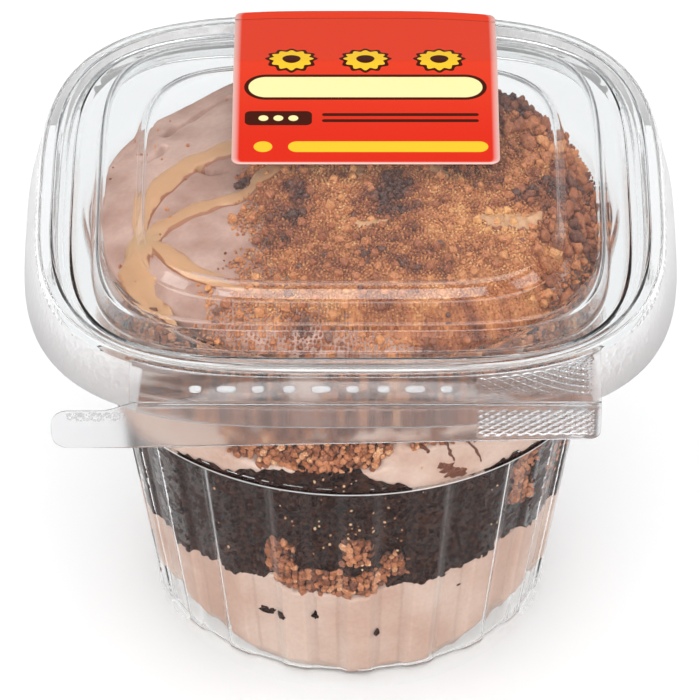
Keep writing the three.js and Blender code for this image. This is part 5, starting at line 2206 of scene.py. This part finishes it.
@dataclass
class Studio:
    """Pale floor, soft light and the camera at the photograph's angle."""

    elevation: float = 36.5
    distance: float = 1.2
    target_height: float = 0.040
    image_up: float = 0.00434
    focal: float = 379.5

    def camera(self) -> None:
        """Sets the camera."""
        tilt = math.radians(self.elevation)
        up = Vector((0, math.sin(tilt), math.cos(tilt)))
        back = Vector((0, -math.cos(tilt), math.sin(tilt)))
        target = Vector((-0.0001, 0, self.target_height)) + up * self.image_up
        data = bpy.data.cameras.new("view")
        data.lens, data.sensor_width, data.clip_end = self.focal, 36.0, 20.0
        camera = placed("view", data)
        camera.location = target + back * self.distance
        self.aim(camera, target)
        bpy.context.scene.camera = camera

    @staticmethod
    def aim(thing: Piece, target: Vector) -> None:
        """Turns a camera or a lamp towards a place."""
        thing.rotation_euler = (target - thing.location).to_track_quat("-Z", "Y").to_euler()

    def floor(self) -> None:
        """Lays a plain pale floor."""
        reach = 4 / MM
        square = [(-reach, -reach, 0), (reach, -reach, 0), (reach, reach, 0), (-reach, reach, 0)]
        floor = mesh_piece("floor", np.array(square), [[0, 1, 2, 3]], smooth=False)
        material, main = fresh_material("pale_floor")
        glow = {"Emission Color": (1.0, 1.0, 1.0, 1.0), "Emission Strength": 0.22}
        surface = {"Base Color": (0.82, 0.82, 0.82, 1.0), "Roughness": 0.9, "Specular IOR Level": 0.1}
        feed(main, {**surface, **glow})
        dressed(floor, material)

    def lamp(self, name: str, place: tuple[float, float, float], size: tuple[float, float], power: float) -> None:
        """Hangs one soft lamp that points at the object, with its sizes in metres and its power in watts."""
        data = bpy.data.lights.new(name, "AREA")
        data.shape = "RECTANGLE"
        data.size, data.size_y = size
        data.energy = power
        lamp = placed(name, data)
        lamp.location = Vector(place)
        self.aim(lamp, Vector((0, 0, 0.05)))

    def light(self) -> None:
        """Lights the scene softly from the front, from above and from both sides."""
        self.lamp("front_box", (0.0, -1.08, 0.77), (2.4, 0.5), 12.6)
        self.lamp("top_box", (0.0, 0.35, 1.7), (1.6, 1.2), 12.5)
        for name, x in (("left_box", -1.28), ("right_box", 1.28)):
            self.lamp(name, (x, -0.5, 0.9), (1.1, 0.6), 5)
        world = bpy.data.worlds.new("room")
        world.use_nodes = True
        feed(world.node_tree.nodes["Background"], {"Color": (0.95, 0.97, 1.0, 1.0), "Strength": 0.4})
        bpy.context.scene.world = world

    def tone(self) -> None:
        """Keeps the display plain and lets light pass all the clear walls."""
        scene = bpy.context.scene
        scene.view_settings.view_transform = "Standard"
        scene.view_settings.look = "None"
        cycles = scene.cycles
        cycles.max_bounces = cycles.transmission_bounces = 20
        cycles.transparent_max_bounces = 24
        cycles.diffuse_bounces = 3
        cycles.glossy_bounces = 6

    def build(self) -> None:
        """Sets up the whole studio."""
        self.camera()
        self.floor()
        self.light()
        self.tone()


# ---- The whole ----


def report(piece: Piece) -> None:
    """Lets a piece ride on the part's one body and reports it."""
    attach(piece, "root")
    log.info("%s: %d faces", piece.name, len(piece.data.polygons))


def main() -> None:
    """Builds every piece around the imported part."""
    logging.basicConfig(level=logging.INFO, format="%(message)s")
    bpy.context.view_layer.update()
    Studio().build()

    clear = ClearSheet("clear_plastic", ior=1.2, ripple=0.02).build()
    lid_sheet = ClearSheet("clear_lid", ripple=0.06, lamp_pass=0.9).build()
    strip_look = {"tint": "F1F1F2", "roughness": 0.16, "ripple": 0.2, "ripple_scale": 90.0, "lamp_pass": 0.9}
    strip_sheet = ClearSheet("clear_strip", **strip_look).build()
    # Relief finish: its white share is a painted highlight on the bars and stipple.
    relief_highlight = HazeAndHighlightSheet().build()
    base_icing = WhippedIcing("base_icing_finish").build()
    crown_icing = WhippedIcing("crown_icing_finish", scale=110.0).build()
    cake = ChocolateCake().build()
    sweet = CrushedSweet("crushed_sweet", SWEET_TONES).build()
    dust = CrushedSweet("sugared_dust", DUST_TONES, gloss=0.12).build()
    pressed = CrushedSweet("pressed_sweet", PRESSED_TONES).build()
    chips = CrushedSweet("chocolate_chips", CHIP_TONES, gloss=0.35).build()
    drizzle = NutDrizzle().build()
    label_print = LabelPrint().build()

    cup = CupShell()
    lid = LidShell()
    press = SheetPress(flute_depth=cup.flute_depth, flute_edge=cup.flute_edge)
    # White share on the ledge's bend: a painted highlight.
    ledge_highlight = HazeAndHighlightSheet("scuffed_bend", clear=0.45, roughness=0.2).build()
    hazy = HazeAndHighlightSheet("hazy_skirt", clear=0.62, roughness=0.3).build()
    report(cup.build(press, clear, ledge_highlight))
    report(lid.build(press, lid_sheet, hazy))
    report(TearStrip(lid).build(strip_sheet, relief_highlight))
    report(PackLabel(lid).build(label_print))

    form = FoodForm(cup)
    filling = ParfaitFilling(form)
    report(filling.build(Layer.BASE, base_icing))
    report(filling.build(Layer.CAKE, cake))
    report(filling.build(Layer.CROWN, crown_icing))
    scatter = CrumbScatter()
    topping = CrushedTopping(form, scatter)
    report(DrizzleRibbons(form, topping.surface).build(drizzle))
    for piece in topping.build(sweet, chips, dust):
        report(piece)
    for piece in WallCrumbs(form, filling, scatter).build(pressed, cake):
        report(piece)
    scatter.clear()

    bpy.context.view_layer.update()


if __name__ == "__main__":
    main()
